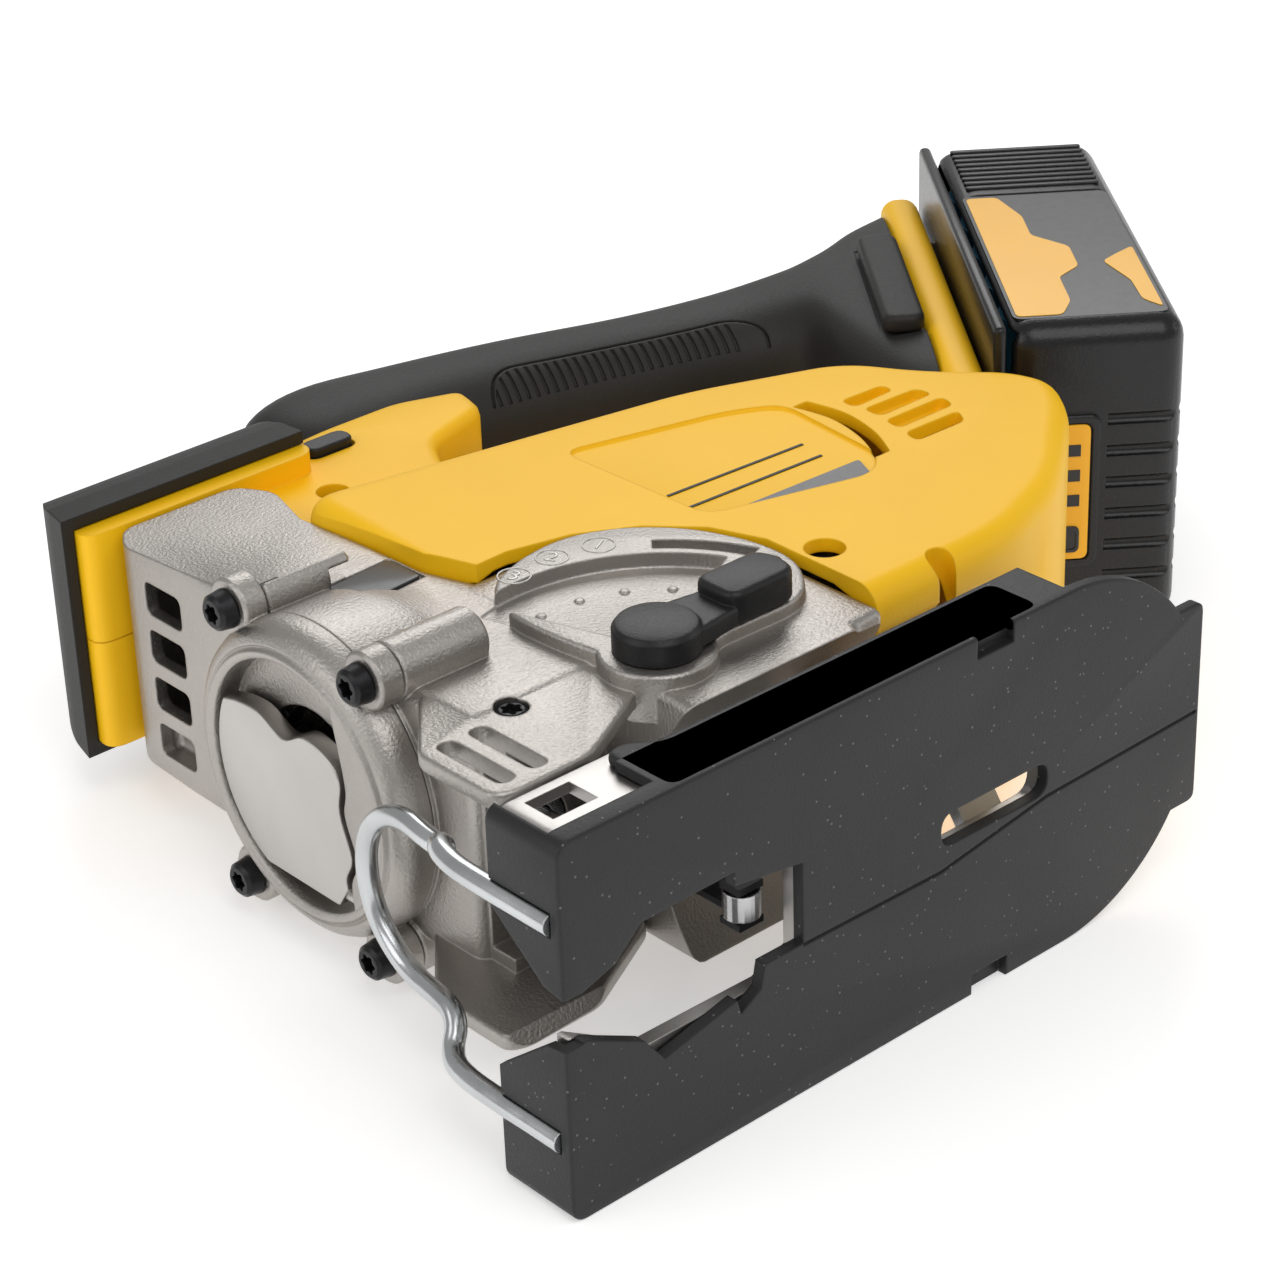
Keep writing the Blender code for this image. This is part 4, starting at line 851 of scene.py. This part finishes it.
def make_battery():
    case = piece("pack_case", in_battery(box((0, 0, 0), (116, 40.2, 76))), "gloss", "battery", bevel=6,
                 segments=6)
    combine(case, "DIFFERENCE",
            in_battery(box((2.5, 2.5, 2.5), (113.5, 50, 73.5))),
            in_battery(box((110, 23.7, 21.7), (122, 38.3, 54.3))))
    for z in (13.6, 21.4, 29.2, 37.0, 44.8, 52.6):
        groove = in_battery(rod("y", 0, z, 1.5, -4, 17.5, 20))
        wrap = in_battery(rod("x", 0, z, 1.3, 3, 111, 20))
        combine(case, "DIFFERENCE", groove, wrap)
    frame_outline = rounded([(19, 16.6), (38, 16.6), (38, 54.4), (19, 54.4)], 3)
    combine(case, "UNION", (in_battery(prism(frame_outline, -1.1, 4, "x")), 0.5))
    gauge_recess = rounded([(21, 18.4), (35.6, 18.4), (35.6, 52.6), (21, 52.6)], 2)
    label_recess = rounded([(5, 3), (81, 3), (81, 38.6), (5, 38.6)], 2)
    combine(case, "DIFFERENCE",
            in_battery(prism(gauge_recess, -3, -0.5, "x")),
            in_battery(prism(label_recess, 75.3, 80)))
    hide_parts("battery_case")
    for number in range(9):
        start = 84.4 + number * 3.1
        rib = rounded([(start, 4.0), (start + 1.7, 4.0), (start + 1.7, 36.4), (start, 36.4)], 0.8)
        piece(f"pack_rib_{number + 1}", in_battery(prism(rib, 75.4, 76.5)), "gloss", "battery", bevel=0.25)

    lid = piece("pack_lid", in_battery(box((0, 40.5, 0), (116, 43.4, 76))), "gloss", "battery", bevel=1.2)
    combine(lid, "UNION", (in_battery(box((6, 42, 21), (106, 58.4, 55))), 1.5))
    for z in (26, 32, 38, 44, 49):
        combine(lid, "DIFFERENCE", in_battery(box((-5, 49.4, z), (40, 60, z + 2))))
    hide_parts("battery_lid")

    gauge = rounded([(21.4, 18.8), (35.2, 18.8), (35.2, 52.2), (21.4, 52.2)], 1.8)
    plate = piece("gauge_plate", in_battery(prism(gauge, -1.15, -0.4, "x")), "label_yellow", "battery",
                  bevel=0.2)
    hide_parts("battery_gauge")
    for number, low in enumerate((31.0, 37.2, 43.4), 1):
        for side, inner in enumerate((23.6, 29.2), 1):
            bar = [(inner, low + 1.2), (inner + 3.6, low + 1.2), (inner + 3.6, low + 4.0), (inner, low + 4.0)]
            piece(f"gauge_bar_{number}_{side}", in_battery(prism(bar, -1.35, -1.0, "x")), "label_black",
                  "battery")
    stem = [(27.9, 27), (28.7, 27), (28.7, 48), (27.9, 48)]
    piece("gauge_stem", in_battery(prism(stem, -1.3, -1.0, "x")), "label_black", "battery")
    button = rounded([(23.4, 20.6), (33.2, 20.6), (33.2, 27.2), (23.4, 27.2)], 1.6)
    key = piece("gauge_button", in_battery(prism(button, -1.6, -1.0, "x")), "label_black", "battery",
                bevel=0.25)
    dip = rounded([(24.2, 21.4), (32.4, 21.4), (32.4, 26.4), (24.2, 26.4)], 1.2)
    combine(key, "DIFFERENCE", in_battery(prism(dip, -3, -1.35, "x")))

    sheet = rounded([(5.4, 3.4), (80.6, 3.4), (80.6, 38.2), (5.4, 38.2)], 2.4)
    piece("pack_label", in_battery(prism(sheet, 75.2, 75.75)), "label_black", "battery")
    lower = [(6.6, 37.4), (6.6, 27.0), (14, 24.0), (28, 24.0), (34, 18.5), (46, 18.5), (54, 26.0), (66, 26.0),
             (79, 30.0), (79, 37.4)]
    upper = [(8, 4.2), (44, 4.2), (40, 8.6), (36, 12.5), (24, 8.4), (13, 8.0)]
    for number, shape in enumerate((lower, upper), 1):
        piece(f"label_block_{number}", in_battery(prism(rounded(shape, 1.6), 75.3, 75.9)), "label_yellow",
              "battery")


# Carried nodes and the room

CARRIED = {
    "zinc": ["bevel_saddle"],
    "machined": ["bevel_seat"],
    "oxide": ["bevel_bolt", "blade_clamp", "housing_screw_1", "housing_screw_2", "orbit_fork",
              "motor_stator"],
    "satin": ["bevel_lever", "trigger", "lock_off_button", "power_switch", "terminal_block", "motor_fan",
              "battery_release_button"],
    "steel": ["plunger", "lower_bush", "upper_bush", "drive_gear", "gear_shaft", "counterweight", "pinion",
              "front_bearing", "rear_bearing", "blade_roller"],
    "copper": ["armature", "brush_left", "brush_right"],
    "wrap": ["battery_cells"],
}


def finish_carried():
    for name, nodes in CARRIED.items():
        for node in nodes:
            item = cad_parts[node]
            item.data.materials.clear()
            item.data.materials.append(MATERIALS[name])


def attach_pieces():
    for item in PIECES:
        dress(item)
        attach(item, item["body"])


def make_room():
    floor_mesh = bpy.data.meshes.new("floor")
    shape = bmesh.new()
    bmesh.ops.create_grid(shape, x_segments=2, y_segments=2, size=6.0)
    shape.to_mesh(floor_mesh)
    shape.free()
    floor = bpy.data.objects.new("floor", floor_mesh)
    bpy.context.scene.collection.objects.link(floor)
    surface = bpy.data.materials.new("floor_paper")
    surface.use_nodes = True
    shader = surface.node_tree.nodes["Principled BSDF"]
    shader.inputs["Base Color"].default_value = (0.92, 0.915, 0.91, 1)
    shader.inputs["Roughness"].default_value = 0.6
    shader.inputs["Specular IOR Level"].default_value = 0.25
    shader.inputs["Emission Color"].default_value = (1, 1, 1, 1)
    shader.inputs["Emission Strength"].default_value = 0.38
    floor_mesh.materials.append(surface)

    world = bpy.data.worlds.new("studio")
    world.use_nodes = True
    back = world.node_tree.nodes["Background"]
    back.inputs["Color"].default_value = (1.0, 0.995, 0.985, 1)
    back.inputs["Strength"].default_value = 0.42
    bpy.context.scene.world = world

    lights = (("key", (-0.25, -0.75, 1.05), 0.9, 5.5), ("fill", (-1.1, 0.15, 0.65), 0.8, 3.0),
              ("rear", (0.75, 0.85, 0.95), 0.8, 5.5), ("side", (0.95, -0.7, 0.45), 0.5, 1.0))
    for name, place, size, power in lights:
        lamp = bpy.data.lights.new(name, "AREA")
        lamp.shape = "SQUARE"
        lamp.size = size
        lamp.energy = power
        item = bpy.data.objects.new(name, lamp)
        item.location = place
        item.rotation_euler = (Vector((0, 0, 0.03)) - Vector(place)).to_track_quat("-Z", "Y").to_euler()
        bpy.context.scene.collection.objects.link(item)


def make_camera():
    yaw = math.radians(48.80)
    pitch = math.radians(28.31)
    roll = math.radians(-1.99)
    forward = Vector((math.cos(yaw) * math.cos(pitch), math.sin(yaw) * math.cos(pitch), -math.sin(pitch)))
    right = Vector((math.sin(yaw), -math.cos(yaw), 0))
    up = right.cross(forward)
    level_right = right * math.cos(roll) + up * math.sin(roll)
    level_up = up * math.cos(roll) - right * math.sin(roll)
    data = bpy.data.cameras.new("camera")
    data.sensor_width = 36.0
    data.lens = 96.5
    camera = bpy.data.objects.new("camera", data)
    turn = Matrix((level_right, level_up, -forward)).transposed().to_4x4()
    camera.matrix_world = Matrix.Translation((-0.4621, -0.4857, 0.3752)) @ turn
    bpy.context.scene.collection.objects.link(camera)
    bpy.context.scene.camera = camera


make_shoe()
make_wire_guard()
make_gear_case()
make_front_cover()
make_blade_lever()
make_orbit_lever()
make_housing()
make_labels()
make_bumper()
make_handle()
make_foot()
make_battery()
finish_carried()
attach_pieces()
make_room()
make_camera()
bpy.context.scene.view_settings.view_transform = "Standard"
